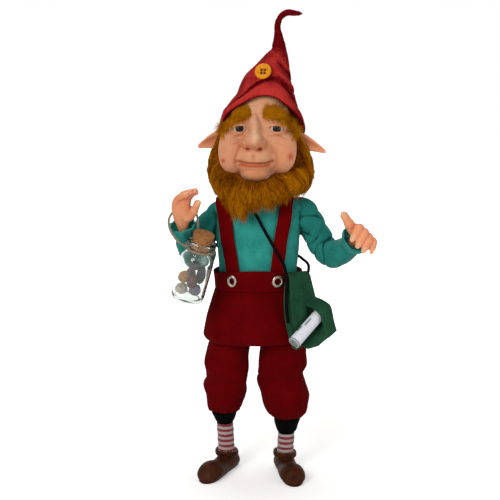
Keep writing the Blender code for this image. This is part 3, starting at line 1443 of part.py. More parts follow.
def roll_centre(x):
    """Height of the paper roll's axis at an x across the satchel."""
    return ROLL_LOW_Z + math.tan(ROLL_SLOPE) * (x - ROLL_SHIFT)


ROLL_LOW_Z = -BAG_HEIGHT * 0.68
ROLL_SHIFT = -3.0 * MM
FLAP_THICKNESS = 1.2 * MM
FLAP_SLIT = 0.17            # where the flap is slit, as a share of its half width
FLAP_LENGTH = 43.5 * MM


def flap_section(x, over):
    """The flap's middle line at one x: (y, z) from the top's back edge, over it and down the front.

    The strip stands out over the roll and hangs from it; the rest passes behind the roll and comes
    forward under it.
    """
    run = np.linspace(0.0, 1.0, FLAP_ROWS)
    half_top = bag_flare(0.0)[1]
    lift = GAP * 1.5 + FLAP_THICKNESS / 2
    over_top = 0.13
    y, z = [], []
    for share in run:
        if share < over_top:
            turn = share / over_top
            y.append(half_top * (1 - 2 * turn))
            z.append(lift + 0.8 * MM * math.sin(turn * math.pi))
        else:
            level = -(share - over_top) / (1 - over_top) * FLAP_LENGTH
            below = (roll_centre(x) - level) / ROLL_WINDOW
            if over:
                out = max(0.0, 1 - min(below, 0.0) ** 2) ** 0.6
            else:
                out = float(np.clip((below - 0.78) / 0.5, 0.0, 1.0))
            standing = out * (2 * ROLL_RADIUS + FLAP_THICKNESS + 6 * GAP)
            depth = bag_flare(max(level, ROLL_LOW_Z))[1] + lift + standing
            y.append(-float(depth))
            z.append(level)
    return np.array(y), np.array(z)


ROLL_WINDOW = 1.9 * ROLL_RADIUS / math.cos(ROLL_SLOPE)
FLAP_ROWS = 19


def flap_strip(left, right, over, columns):
    """A closed strip of the flap between two x shares of the satchel's width."""
    rings = []
    for row in range(FLAP_ROWS):
        front, back = [], []
        for share in np.linspace(left, right, columns):
            run = row / (FLAP_ROWS - 1)
            x = share * bag_flare(-FLAP_LENGTH * run)[0] * 1.01
            y, z = flap_section(x, over)
            step = np.array(
                [
                    y[min(row + 1, FLAP_ROWS - 1)] - y[max(row - 1, 0)],
                    z[min(row + 1, FLAP_ROWS - 1)] - z[max(row - 1, 0)],
                ]
            )
            normal = np.array([step[1], -step[0]]) / np.linalg.norm(step)
            for side, sign in ((front, 1), (back, -1)):
                spot = np.array([y[row], z[row]]) + sign * normal * FLAP_THICKNESS / 2
                side.append((x, spot[0], spot[1]))
        rings.append(front + back[::-1])
    return rings


def make_flap():
    """A felt flap cut by one slit: its right strip passes over the rolled paper, the rest behind it."""
    flap = loft("satchel_flap", flap_strip(-0.96, FLAP_SLIT, False, 4), "bag_felt", start="flat", end="flat")
    strip = loft("strip", flap_strip(FLAP_SLIT - 0.02, 1.0, True, 3), start="flat", end="flat")
    combine(flap, [strip], "UNION")
    hang(flap)


def make_roll():
    """A sheet of paper rolled one and three quarter turns: a spiral wall, open in the middle."""
    turns, wall = 1.75, 0.45 * MM
    turn = np.linspace(0, 2 * math.pi * turns, 26)
    radius = ROLL_RADIUS - wall - (ROLL_RADIUS - 2.6 * MM) * (1 - turn / turn[-1])
    outer = np.stack([(radius + wall) * np.cos(turn), (radius + wall) * np.sin(turn)], axis=-1)
    inner = np.stack([radius * np.cos(turn), radius * np.sin(turn)], axis=-1)[::-1]
    outline = np.concatenate([outer, inner])
    rings = [
        np.column_stack([outline, np.full(len(outline), end)]) for end in (-ROLL_LENGTH / 2, ROLL_LENGTH / 2)
    ]
    roll = loft("paper_roll", rings, "paper", start="flat", end="flat")
    front = -float(bag_flare(ROLL_LOW_Z)[1]) - GAP * 1.5 - FLAP_THICKNESS - GAP * 2 - ROLL_RADIUS
    middle, beside, before = (
        hang_point(ROLL_SHIFT + dx, front + dy, ROLL_LOW_Z + dz) for dx, dy, dz in (
            (0, 0, 0), (MM, 0, math.tan(ROLL_SLOPE) * MM), (0, -MM, 0),
        )
    )
    place(roll, Matrix.Translation(middle) @ turn_to(beside - middle))


CORD_OVER_BODY = [  # up the chest, over the far shoulder, down the back and round the hip
    (17.6, -22.9, 150.4), (11.0, -21.5, 163.0), (3.8, -21.2, 176.0), (-2.4, -19.9, 187.0),
    (-9.6, -16.0, 195.4), (-13.4, -8.4, 200.8),
    (-14.2, 0.6, 201.8), (-11.4, 9.8, 198.4), (-5.4, 17.4, 189.0), (4.0, 21.0, 176.0),
    (12.4, 22.2, 162.6), (21.8, 18.8, 154.6), (29.8, 10.4, 150.6), (33.8, 1.0, 147.8),
]


def make_cord():
    """The satchel's cord: its end hangs down the near gusset, and it goes round the body to the far one."""
    clear = CORD_DIAMETER / 2 + 2 * GAP
    near = [
        hang_point(-bag_flare(-down * MM)[0] - clear, -2.0 * MM, -down * MM) for down in (27, 20, 12, 5)
    ]
    far = [hang_point(bag_flare(-3 * MM)[0] + clear, 1.0 * MM, -3 * MM)]
    cord_curve(
        "satchel_cord", [*near, *(Vector(p) * MM for p in CORD_OVER_BODY), *far], CORD_DIAMETER, 54,
        "cord_black",
    )


# Assembly

def centre_on_base():
    """Hangs every piece from one empty and moves it so that the box's footprint is centred on the origin."""
    figure = bpy.data.objects.new("figurine", None)
    bpy.context.scene.collection.objects.link(figure)
    bpy.context.view_layer.update()
    graph = bpy.context.evaluated_depsgraph_get()
    low, high = Vector((1e9,) * 3), Vector((-1e9,) * 3)
    for obj in [o for o in bpy.context.scene.objects if o is not figure]:
        obj.parent = figure
        solid = obj.evaluated_get(graph)
        mesh = solid.to_mesh()
        for vertex in mesh.vertices:
            spot = solid.matrix_world @ vertex.co
            low = Vector(map(min, low, spot))
            high = Vector(map(max, high, spot))
        solid.to_mesh_clear()
    figure.location = (-(low.x + high.x) / 2, -(low.y + high.y) / 2, -low.z)


def main():
    for obj in list(bpy.data.objects):
        bpy.data.objects.remove(obj)
    make_head()
    make_brows()
    make_beard()
    make_hair()
    make_hat()
    make_button()
    make_torso()
    make_hands()
    make_band()
    make_eyelets()
    make_straps()
    make_trousers()
    make_legs()
    for side in LEGS:
        make_shoe(side)
    make_bottle()
    make_pebbles()
    make_twine()
    make_bag()
    make_flap()
    make_roll()
    make_cord()
    centre_on_base()


main()
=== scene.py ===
"""Elf figurine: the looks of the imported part, put together from the feet up.

While a piece is made its lengths are millimetres from the body's axis: x to the viewer's right, y away from
the viewer, z up from the soles.
"""
import math

import bmesh
import bpy
import numpy as np
from mathutils import Matrix, Vector


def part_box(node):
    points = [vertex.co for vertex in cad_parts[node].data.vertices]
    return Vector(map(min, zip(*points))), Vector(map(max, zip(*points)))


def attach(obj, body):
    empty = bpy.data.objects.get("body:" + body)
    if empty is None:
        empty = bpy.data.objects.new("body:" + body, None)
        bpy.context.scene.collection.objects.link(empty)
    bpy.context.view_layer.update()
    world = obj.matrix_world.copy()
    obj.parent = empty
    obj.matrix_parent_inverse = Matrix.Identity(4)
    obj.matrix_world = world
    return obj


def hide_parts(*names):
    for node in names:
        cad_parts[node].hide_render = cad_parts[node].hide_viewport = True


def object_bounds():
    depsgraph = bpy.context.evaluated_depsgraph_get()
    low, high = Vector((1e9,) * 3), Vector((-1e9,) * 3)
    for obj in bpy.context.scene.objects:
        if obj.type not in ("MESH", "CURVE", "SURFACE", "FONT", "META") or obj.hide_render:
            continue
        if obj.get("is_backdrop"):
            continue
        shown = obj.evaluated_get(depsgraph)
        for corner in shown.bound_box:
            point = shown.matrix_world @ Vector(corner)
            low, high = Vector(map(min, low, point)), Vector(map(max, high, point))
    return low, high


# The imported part
# The body's axis is read from the waistband, which is symmetrical about it.

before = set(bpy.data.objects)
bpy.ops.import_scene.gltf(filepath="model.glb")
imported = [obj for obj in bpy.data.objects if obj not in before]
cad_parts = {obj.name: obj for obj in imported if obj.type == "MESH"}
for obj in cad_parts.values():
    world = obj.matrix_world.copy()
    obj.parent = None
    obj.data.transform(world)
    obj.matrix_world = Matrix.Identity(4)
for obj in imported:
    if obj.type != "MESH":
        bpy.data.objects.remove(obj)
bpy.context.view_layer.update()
MM = 0.001
band_low, band_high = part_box("waistband")
AXIS = np.array([(band_low[0] + band_high[0]) / 2, (band_low[1] + band_high[1]) / 2, 0.0])


# Stuffed legs in black stockings
# Round limbs that hang inside the trousers and puff out below them. The tools for curves, surfaces and
# shader nodes are defined here, where they are first used.

def cubic(t, h, a, b, slope_a, slope_b):
    """The cubic from a to b over a step of length h, with these slopes at its ends, at the share t."""
    return (
        (1 + 2 * t) * (1 - t) ** 2 * a
        + t * (1 - t) ** 2 * h * slope_a
        + t**2 * (3 - 2 * t) * b
        + t**2 * (t - 1) * h * slope_b
    )


def spline(at, knots):
    """Cubic through (place, value) knots whose slopes are harmonic means, so it never swings past them."""
    x, y = np.array(knots, float).T
    h = np.diff(x)
    rise = np.diff(y) / h
    slope = np.zeros(len(x))
    same = rise[1:] * rise[:-1] > 0
    slope[1:-1] = np.where(same, 2 * rise[1:] * rise[:-1] / np.where(same, rise[1:] + rise[:-1], 1.0), 0.0)
    at = np.clip(at, x[0], x[-1])
    k = np.clip(np.searchsorted(x, at, side="right") - 1, 0, len(x) - 2)
    return cubic((at - x[k]) / h[k], h[k], y[k], y[k + 1], slope[k], slope[k + 1])


def bump(distance, width):
    """exp(-(distance / width)^2): a round hill of height 1."""
    return np.exp(-((distance / width) ** 2))


def valley(phase, sharp=4):
    """(1 - |sin(phase)|)^sharp: a narrow line at each half turn of the phase."""
    return (1 - np.abs(np.sin(phase))) ** sharp


def circle(count, start=0.0):
    """Evenly spaced angles of one full turn."""
    return np.linspace(start, start + 2 * math.pi, count, endpoint=False)


def points_at(x, y, z):
    """Points with these three coordinates, as many as their shapes make together."""
    return np.stack(np.broadcast_arrays(x, y, z), axis=-1)


def lengths(line):
    """How far along a line of points each of them is."""
    return np.concatenate(([0.0], np.cumsum(np.linalg.norm(np.diff(line, axis=0), axis=1))))


def directions(line, axis=0):
    """Unit vectors along lines of points; axis is the one that steps along a line."""
    tangent = np.gradient(line, axis=axis)
    return tangent / np.linalg.norm(tangent, axis=-1)[..., None]


def route(points, count):
    """Evenly spaced points on a cubic through the given ones."""
    points = np.array(points, float)
    along = lengths(points)
    fine = np.linspace(0.0, along[-1], 40 * len(points))
    slope = np.gradient(points, along, axis=0)
    k = np.clip(np.searchsorted(along, fine, side="right") - 1, 0, len(along) - 2)
    h = (along[k + 1] - along[k])[:, None]
    t = (fine - along[k])[:, None] / h
    line = cubic(t, h, points[k], points[k + 1], slope[k], slope[k + 1])
    length = lengths(line)
    even = np.linspace(0.0, length[-1], count)
    return np.stack([np.interp(even, length, line[:, i]) for i in range(3)], axis=1)


def tube(path, radii, sides, swell=None):
    """Grid path + r (cos a u + sin a v), with u and v carried along the path without twisting."""
    tangent = directions(path)
    side = np.cross(tangent[0], (0.0, 1.0, 0.0))
    if np.linalg.norm(side) < 0.2:
        side = np.cross(tangent[0], (1.0, 0.0, 0.0))
    across = []
    for direction in tangent:
        side = side - direction * (side @ direction)
        side = side / np.linalg.norm(side)
        across.append(side)
    across = np.array(across)
    over = np.cross(tangent, across)
    angle = circle(sides)
    radius = np.asarray(radii)[:, None] * np.ones(sides)
    if swell is not None:
        radius = radius * (1 + swell(np.linspace(0.0, 1.0, len(path))[:, None], angle[None, :]))
    return path[:, None] + radius[..., None] * (
        np.cos(angle)[None, :, None] * across[:, None] + np.sin(angle)[None, :, None] * over[:, None]
    )


def store(mesh, key, value):
    """Keeps one number or one colour for each point as an attribute of the mesh."""
    value = np.asarray(value, float)
    if value.ndim == 1 or value.shape[-1] != 4:
        mesh.attributes.new(key, "FLOAT", "POINT").data.foreach_set("value", value.ravel())
    else:
        mesh.attributes.new(key, "FLOAT_COLOR", "POINT").data.foreach_set("color", value.ravel())


def mesh_from(name, points, faces, values=None):
    """A mesh of metres from millimetre points, with its attributes."""
    mesh = bpy.data.meshes.new(name)
    mesh.from_pydata((points * MM + AXIS).tolist(), [], faces)
    for key, value in (values or {}).items():
        store(mesh, key, value)
    return mesh


def shown(name, mesh):
    """An object of the mesh, linked to the scene."""
    obj = bpy.data.objects.new(name, mesh)
    bpy.context.scene.collection.objects.link(obj)
    return obj


def grid_faces(rows, columns, loop=False):
    """Corner numbers of the quads of a grid of rings; loop joins the last ring to the first."""
    i = np.arange(rows if loop else rows - 1)[:, None]
    j = np.arange(columns)[None, :]
    right, above = (j + 1) % columns, (i + 1) % rows
    low, high = i * columns, above * columns
    return np.stack([low + j, low + right, high + right, high + j], -1).reshape(-1, 4).tolist()


def outward(points, faces):
    """Turns the faces over if the volume that they enclose comes out negative."""
    corners = np.array([face[:3] for face in faces])
    a, b, c = (points[corners[:, k]] for k in range(3))
    middle = points.mean(axis=0)
    if (np.cross(b - middle, c - middle) * (a - middle)).sum() < 0:
        return [face[::-1] for face in faces]
    return faces


def surface(name, grid, loop=False, ends=True, values=None):
    """An object skinned over a grid of rings, with its two ends closed by fans."""
    rows, columns = grid.shape[:2]
    points = grid.reshape(-1, 3)
    faces = grid_faces(rows, columns, loop)
    values = {key: np.asarray(value, float) for key, value in (values or {}).items()}
    if ends and not loop:
        points = np.concatenate([points, grid[0].mean(0)[None], grid[-1].mean(0)[None]])
        last = (rows - 1) * columns
        for j in range(columns):
            k = (j + 1) % columns
            faces.append([k, j, rows * columns])
            faces.append([last + j, last + k, rows * columns + 1])
        for key, value in values.items():
            value = value.reshape(rows * columns, -1)
            both = [value[:columns].mean(0)[None], value[-columns:].mean(0)[None]]
            values[key] = np.concatenate([value, *both])
    for key, value in values.items():
        value = value.reshape(len(points), -1)
        values[key] = value if value.shape[1] == 4 else value[:, 0]
    mesh = mesh_from(name, points, outward(points, faces), values)
    mesh.shade_smooth()
    return shown(name, mesh)


def dress(obj, mat, slot, *nodes):
    """Gives a piece its material, hides the imported nodes that it stands for, and sets it on the body; the
    slot is not used.
    """
    obj.data.materials.clear()
    obj.data.materials.append(mat)
    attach(obj, "root")
    if nodes:
        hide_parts(*nodes)
    return obj


def linear(hex_colour):
    """sRGB hex to linear: ((c + 0.055) / 1.055)^2.4 above 0.04045, c / 12.92 below."""
    parts = [int(hex_colour[k:k + 2], 16) / 255 for k in (1, 3, 5)]
    return (*(((c + 0.055) / 1.055) ** 2.4 if c > 0.04045 else c / 12.92 for c in parts), 1.0)


def add(mat, kind, out=0, **values):
    """Adds a shader node; each value sets a property or a socket, or is linked to it (in0, in1 by place)."""
    made = mat.node_tree.nodes.new("ShaderNode" + kind)
    for key, value in values.items():
        if key[:2] == "in" and key[2:].isdigit():
            socket = made.inputs[int(key[2:])]
        else:
            socket = next((s for s in made.inputs if s.name.lower().replace(" ", "_") == key), None)
        if socket is None:
            setattr(made, key, value)
        elif isinstance(value, bpy.types.NodeSocket):
            mat.node_tree.links.new(value, socket)
        else:
            socket.default_value = value
    return made.outputs[out]


def noise(mat, size, detail=3.0, stretch=(1, 1, 1), distortion=0.0):
    """Noise on Object coordinates whose features are about size millimetres, longer where stretch is."""
    place = add(mat, "TexCoord", out=3)
    scaled = add(mat, "Mapping", vector=place, scale=tuple(1 / s for s in stretch))
    return add(mat, "TexNoise", vector=scaled, scale=1 / (size * MM), detail=detail, distortion=distortion)


def principled(name, **sockets):
    """A material and its Principled shader with some sockets set."""
    mat = bpy.data.materials.new(name)
    mat.use_nodes = True
    shader = mat.node_tree.nodes["Principled BSDF"]
    for key, value in sockets.items():
        shader.inputs[key.replace("_", " ").title().replace("Ior", "IOR")].default_value = value
    return mat, shader


def finish_with(mat, shader, colour, height=None, depth=0.2, rough=None):
    """Links the base colour, a bump of that many millimetres, and the roughness."""
    links = mat.node_tree.links
    links.new(colour, shader.inputs["Base Color"])
    if height is not None:
        raised = add(mat, "Bump", height=height, distance=depth * MM, strength=1.0)
        links.new(raised, shader.inputs["Normal"])
    if rough is not None:
        links.new(rough, shader.inputs["Roughness"])
    return mat


def felt(name, dark, lit, fibre=0.5, cloud=9.0, sheen=0.25, depth=0.25):
    """Pressed wool: matted fibres over slow patches of colour, with a short fuzzy sheen. Its one attribute
    is
    painted light: it runs from -1, painted shade in deep folds, to 1, a painted highlight of paler fibres."""
    mat, shader = principled(
        name, roughness=0.95, sheen_weight=sheen, sheen_roughness=0.45, specular_ior_level=0.04,
    )
    shader.inputs["Sheen Tint"].default_value = linear(lit)
    fibres = noise(mat, fibre, 4, stretch=(1.6, 1, 1), distortion=0.6)
    patches = noise(mat, cloud, 2)
    both = add(
        mat, "Math", operation="MULTIPLY_ADD", in0=fibres, in1=0.65,
        in2=add(mat, "Math", operation="MULTIPLY", in0=patches, in1=0.45),
    )
    # painted light: painted shade below 0, painted highlight above; only the hat sets it
    painted_light = add(mat, "Attribute", out=2, attribute_name="painted_light")
    both = add(mat, "Math", operation="MULTIPLY_ADD", in0=painted_light, in1=0.5, in2=both)
    colour = add(
        mat, "Mix", out=2, data_type="RGBA",
        in0=add(mat, "MapRange", value=both, from_min=0.36, from_max=0.78), in6=linear(dark),
        in7=linear(lit),
    )
    return finish_with(mat, shader, colour, fibres, depth)


LEGS = {  # (height, x, y, radius) down each trouser leg and each stuffed leg
    "left": {
        "trouser": [
            (108, -18, 2, 13.0), (98, -19, 2.5, 13.6), (90, -20.2, 3, 14.4), (80, -21.4, 3.5, 15.0),
            (71, -20.6, 4, 14.4), (63, -22.4, 4.5, 14.8), (56, -22.3, 5.5, 13.6), (50, -22.6, 6, 12.0),
            (46, -23.0, 7, 10.3),
        ],
        "leg": [
            (112, -15, 2, 7.6), (80, -19, 3.6, 8.2), (56, -22.8, 5.4, 7.9), (47, -23.1, 7.0, 7.9),
            (43.6, -23.2, 7.8, 8.6), (40, -23.0, 8.8, 7.6), (36.4, -22.8, 9.8, 6.0),
            (35.4, -22.7, 10.0, 4.3), (20, -22.0, 12.4, 4.3), (8, -21.5, 13.6, 4.3),
        ],
        "ankle": (-21.5, 13.6), "toe": (-19.0, -38.6), "first": "#8e0a1c", "second": "#c4b4b2",
    },
    "right": {
        "trouser": [
            (108, 17, 2, 13.4), (98, 17, 2.5, 14.6), (90, 17.0, 3, 15.6), (80, 16.8, 3.5, 16.4),
            (73, 15.6, 4, 15.6), (65, 16.6, 4.5, 16.6), (57, 18.2, 5, 16.6), (49, 19.4, 5.5, 15.0),
            (44, 20.0, 6, 12.6), (41.5, 20.2, 6.6, 10.6),
        ],
        "leg": [
            (112, 14, 2, 7.6), (80, 17, 3.6, 8.4), (50, 20, 5.2, 8.2), (42.6, 20.2, 6.5, 8.2),
            (38.6, 20.2, 7.2, 9.0), (34, 20.0, 8.0, 7.8), (29.4, 19.8, 8.8, 6.2), (28.4, 19.8, 9.0, 4.3),
            (18, 19.3, 10.2, 4.3), (8, 18.9, 11.0, 4.3),
        ],
        "ankle": (18.9, 11.0), "toe": (9.0, -46.0), "first": "#c4b4b2", "second": "#8e0a1c",
    },
}


def limb(table, heights, sides, grow=0.0, folds=None):
    """Level rings (x + r cos a, y + r sin a, z), r from the table plus folds(z, a)."""
    rows = sorted(table)
    z = np.array(heights, float)
    x, y, radius = (spline(z, [(row[0], row[k]) for row in rows])[:, None] for k in (1, 2, 3))
    angle = circle(sides)[None, :]
    reach = radius + grow + (folds(z[:, None], angle) if folds else 0.0)
    return points_at(x + reach * np.cos(angle), y + reach * np.sin(angle), z[:, None])


stocking = felt("black_stocking_knit", "#020202", "#0b0809", fibre=0.4, sheen=0.08)
for side, leg in LEGS.items():
    foot = min(row[0] for row in leg["leg"] if row[3] > 5.9)
    puckers = lambda z, a: (
        0.22 * np.sin(13 * a + 2 * np.sin(3 * a)) * bump(z - foot - 2, 4.0)
        + 0.2 * np.sin(3 * a + z * 0.5) * bump(z - foot - 9, 8.0)
    )
    rings = limb(leg["leg"], np.linspace(112, 8, 200), 72, folds=puckers)
    dress(surface(f"stuffed_leg_{side}", rings), stocking, "black_cloth", f"leg_{side}")


# Striped socks
# Fine red and white stripes, knitted in the round, which end in a frayed fringe over the shoe.

def sock_knit(name, first, second):
    """Stripes 1.95 mm deep where sin(2 pi down / 3.9) is high or low, wavering by the stitch, over ribs;
    painted shade darkens the grooves between the ribs and rows.
    """
    mat, shader = principled(name, roughness=0.9, sheen_weight=0.2)
    down = add(mat, "Attribute", out=2, attribute_name="down")
    turn = add(mat, "Attribute", out=2, attribute_name="turn")
    waver = add(mat, "Math", operation="MULTIPLY_ADD", in0=noise(mat, 0.8, 2), in1=0.9, in2=down)
    step = add(mat, "Math", operation="MULTIPLY_ADD", in0=waver, in1=2 * math.pi / 3.9, in2=-0.7)
    band = add(
        mat, "MapRange", value=add(mat, "Math", operation="SINE", in0=step), from_min=-0.25, from_max=0.25,
    )
    ribs = add(
        mat, "Math", operation="SINE", in0=add(mat, "Math", operation="MULTIPLY", in0=turn, in1=44.0),
    )
    rows = add(mat, "Math", operation="SINE", in0=add(mat, "Math", operation="MULTIPLY", in0=down, in1=9.0))
    stitch = add(
        mat, "Math", operation="MULTIPLY_ADD", in0=ribs, in1=0.5,
        in2=add(mat, "Math", operation="MULTIPLY", in0=rows, in1=0.35),
    )
    plain = add(mat, "Mix", out=2, data_type="RGBA", in0=band, in6=linear(second), in7=linear(first))
    # painted shade: the colour falls to half in the grooves between the knitted ribs and rows
    painted_groove_shade = add(
        mat, "Mix", out=2, data_type="RGBA",
        in0=add(mat, "MapRange", value=stitch, from_min=-1.1, from_max=0.6), in6=(0.5, 0.45, 0.45, 1),
        in7=(1, 1, 1, 1),
    )
    colour = add(mat, "Mix", out=2, data_type="RGBA", blend_type="MULTIPLY", in0=1.0, in6=plain, in7=painted_groove_shade)
    return finish_with(mat, shader, colour, stitch, 0.18)


def blades(name, middle, radius, level, count, tall, lean, seed):
    """A ring of thin pointed tufts, each of four faces, of uneven height and lean."""
    random = np.random.default_rng(seed)
    angle = circle(count) + random.normal(0, 0.08, count)
    height = tall * random.uniform(0.45, 1.15, count)
    out = np.stack([np.cos(angle), np.sin(angle), np.zeros(count)], -1)
    beside = np.stack([-np.sin(angle), np.cos(angle), np.zeros(count)], -1)
    base = np.array((*middle, level)) + out * radius
    half = radius * math.pi / count * 1.15
    tips = base + out * (lean * random.uniform(0.3, 1.4, count))[:, None] + beside * random.normal(
        0, 0.5, count)[:, None] + np.array((0, 0, 1)) * height[:, None]
    corners = [base - beside * half, base + out * 0.35, base + beside * half, base - out * 0.35, tips]
    points = np.stack(corners, axis=1).reshape(-1, 3)
    faces = []
    for k in range(count):
        for a, b in ((0, 1), (1, 2), (2, 3), (3, 0)):
            faces.append([5 * k + a, 5 * k + b, 5 * k + 4])
    return shown(name, mesh_from(name, points, faces))


frayed = felt("frayed_white_yarn", "#8f8078", "#c9bcb2", fibre=0.3, sheen=0.2)
for side, leg in LEGS.items():
    top = min(row[0] for row in leg["leg"] if row[3] > 5.9) - 1.4
    heights = np.linspace(top, 7.2, 90)
    slack = lambda z, a: 0.12 * np.sin(2 * a + z * 0.9) + 0.16 * np.sin(z * 1.9 + a) * bump(z - 16, 6)
    outer = limb(leg["leg"], heights, 84, grow=1.4, folds=slack)
    inner = limb(leg["leg"], heights[::-6], 84, grow=0.35)
    rings = np.concatenate([outer, inner])
    down = top - rings[..., 2]
    turn = circle(84) * np.ones((len(rings), 1))
    sock = surface(f"striped_sock_{side}", rings, loop=True, values={"down": down, "turn": turn})
    knit = sock_knit(f"striped_knit_{side}", leg["first"], leg["second"])
    dress(sock, knit, "sock_stripe", f"sock_{side}")
    fringe = blades(f"sock_fringe_{side}", leg["ankle"], 6.3, 11.8, 34, 4.4, 1.5, 5)
    dress(fringe, frayed, "sock_stripe")


# Shoes
# Soft brown slip-ons with a round toe, a wrinkled instep, a rolled collar and a thin sole.

def melted(name, grids, voxel, smooth=2):
    """Joins closed surfaces into one skin on a fine grid, which rounds the seams between them."""
    parts = [surface(name, grid) for grid in grids]
    bm = bmesh.new()
    for part in parts:
        bm.from_mesh(part.data)
    obj = parts[0]
    bm.to_mesh(obj.data)
    bm.free()
    for part in parts[1:]:
        bpy.data.objects.remove(part)
    skin = obj.modifiers.new("Remesh", "REMESH")
    skin.mode = "VOXEL"
    skin.voxel_size = voxel * MM
    skin.use_smooth_shade = True
    ease = obj.modifiers.new("Smooth", "SMOOTH")
    ease.factor = 0.5
    ease.iterations = smooth
    graph = bpy.context.evaluated_depsgraph_get()
    mesh = bpy.data.meshes.new_from_object(obj.evaluated_get(graph))
    obj.modifiers.clear()
    obj.data = mesh
    mesh.shade_smooth()
    return obj


def points_of(obj):
    """The mesh's points as millimetres from the body's axis."""
    flat = np.empty(len(obj.data.vertices) * 3)
    obj.data.vertices.foreach_get("co", flat)
    return (flat.reshape(-1, 3) - AXIS) / MM


def leather(name, dark, lit):
    """Dull suede-like leather: fine grain, cloudy wear, painted shade in the creases, and a dark band just
    above the sole.
    """
    mat, shader = principled(name, roughness=0.75, specular_ior_level=0.07)
    grain = noise(mat, 0.7, 5)
    wear = noise(mat, 5.0, 3)
    crease_shade_and_sole_band = add(mat, "Attribute", out=2, attribute_name="crease")
    colour = add(
        mat, "Mix", out=2, data_type="RGBA",
        in0=add(mat, "MapRange", value=wear, from_min=0.35, from_max=0.7), in6=linear(dark),
        in7=linear(lit),
    )
    # painted shade in the creases, and the band above the sole, darken towards #170a03
    dark_share = add(mat, "Math", operation="MULTIPLY", in0=crease_shade_and_sole_band, in1=0.7)
    colour = add(mat, "Mix", out=2, data_type="RGBA", in0=dark_share, in6=colour, in7=linear("#170a03"))
    rough = add(mat, "MapRange", value=grain, from_min=-0.6, from_max=1.6)
    return finish_with(mat, shader, colour, grain, 0.12, rough=rough)


SHOE_LONG = 47.0
shoe_leather = leather("brown_shoe_leather", "#2f1306", "#4a230f")
for side, leg in LEGS.items():
    forward = np.array((*leg["toe"], 0.0)) / np.linalg.norm(leg["toe"])
    sideways = np.array((-forward[1], forward[0], 0.0))
    ankle = np.array((*leg["ankle"], 0.0))
    heel = ankle - forward * SHOE_LONG * 0.27
    share = np.concatenate([np.linspace(0, 0.1, 14), np.linspace(0.12, 0.88, 60), np.linspace(0.9, 1, 16)])
    half = spline(share, [
        (0, 0.8), (0.02, 3.4), (0.07, 5.6), (0.15, 6.8), (0.3, 7.2), (0.45, 7.2), (0.6, 8.0), (0.78, 8.7),
        (0.88, 8.0), (0.95, 5.8), (0.985, 3.4), (1, 0.8),
    ])
    tall = spline(share, [
        (0, 4.5), (0.05, 9), (0.15, 12.6), (0.28, 12.4), (0.4, 11.2), (0.5, 10.4), (0.62, 11.4),
        (0.76, 12.8), (0.88, 11.6), (0.95, 8.6), (1, 5),
    ])
    angle = circle(72)
    middle = tall * 0.36
    wrinkle = 0.5 * valley(share * 34 + 0.6, 3) * bump(share - 0.5, 0.09)
    above, below = (tall - middle - wrinkle)[:, None], middle[:, None] * 1.35
    lift = np.where(np.sin(angle) > 0, above * np.sin(angle), below * np.sin(angle))
    height = np.maximum(middle[:, None] + lift, 0.0)
    welt = 0.45 * bump(height - 1.9, 0.45) - 0.35 * bump(height - 0.7, 0.5)
    wide = half[:, None] * np.cos(angle) * (1 - 0.12 * np.clip(-np.sin(angle), 0, 1))
    wide = wide - welt * np.sign(np.cos(angle))
    lengthwise = forward * (share * SHOE_LONG)[:, None, None]
    body = heel + lengthwise + sideways * wide[..., None] + np.array((0, 0, 1.0)) * height[..., None]
    turn = circle(20)
    ring = np.stack([7.3 + 0.9 * np.cos(turn), 12.2 + 2.0 * np.sin(turn)], axis=-1)
    a = circle(80)
    collar = np.stack([
        ankle[0] + ring[:, 0, None] * np.cos(a), ankle[1] + ring[:, 0, None] * np.sin(a),
        ring[:, 1, None] - 0.5 * np.cos(a - 0.4) + 0.25 * np.sin(3 * a),
    ], axis=-1)
    shoe = melted(f"soft_shoe_{side}", [body, np.concatenate([collar, collar[:1]])], 0.42)
    spots = points_of(shoe)
    run = (spots - heel) @ forward / SHOE_LONG
    # Painted shade in the instep's wrinkles, and a dark band just above the sole.
    crease = 0.8 * valley(run * 34 + 0.6, 3) * bump(run - 0.5, 0.1) * (spots[:, 2] > 4)
    crease += 0.9 * bump(spots[:, 2] - 1.3, 0.6)
    store(shoe.data, "crease", crease)
    dress(shoe, shoe_leather, "shoe_brown", f"shoe_{side}")


# Trousers
# Wine-red felt knee breeches: a wide padded seat whose hem hangs over two loose legs, gathered at the knee.

trouser_felt = felt("wine_red_felt", "#500002", "#690206", fibre=0.55, cloud=11.0, sheen=0.06, depth=0.2)
SEAT = [  # (height over the hem, centre x, half width, half depth)
    (-1.5, 0.0, 24.0, 17.0), (-0.6, -0.5, 30.5, 22.0), (1.2, -0.8, 34.6, 24.6), (4.5, -1.2, 35.8, 25.4),
    (9, -1.0, 35.2, 25.2), (18, -0.6, 33.4, 24.2), (27, -0.2, 31.0, 22.6), (33, 0.0, 29.2, 20.8),
    (35.7, 0.0, 28.4, 19.9),
]
angle = circle(220, -math.pi)[None, :]
rise = np.concatenate([np.linspace(-1.5, 3, 22), np.linspace(3.4, 35.7, 84)])[:, None]
middle, half, depth = (spline(rise, [(row[0], row[k]) for row in SEAT]) for k in (1, 2, 3))
drape = 0.5 * np.sin(5 * angle) * np.maximum(0, 1 - np.abs(rise - 5) / 12)
drape = drape + 0.35 * np.sin(11 * angle + 1.3 * np.sin(2 * angle)) * bump(rise - 2, 9)
drape = drape + 0.22 * np.sin(17 * angle + rise * 0.11) * bump(rise - 34, 7)
drape = drape - 0.5 * valley(angle * 2.5 + 0.9 + rise * 0.02, 6) * bump(rise - 14, 12)
seat = points_at(
    middle + (half + drape) * np.sin(angle), -(depth + drape) * np.cos(angle),
    98.0 + rise + np.sin(angle + 0.6) * (1 - np.clip((rise - 6) / 10, 0, 1)),
)
dress(surface("trouser_seat", seat), trouser_felt, "trouser_red", "trousers")
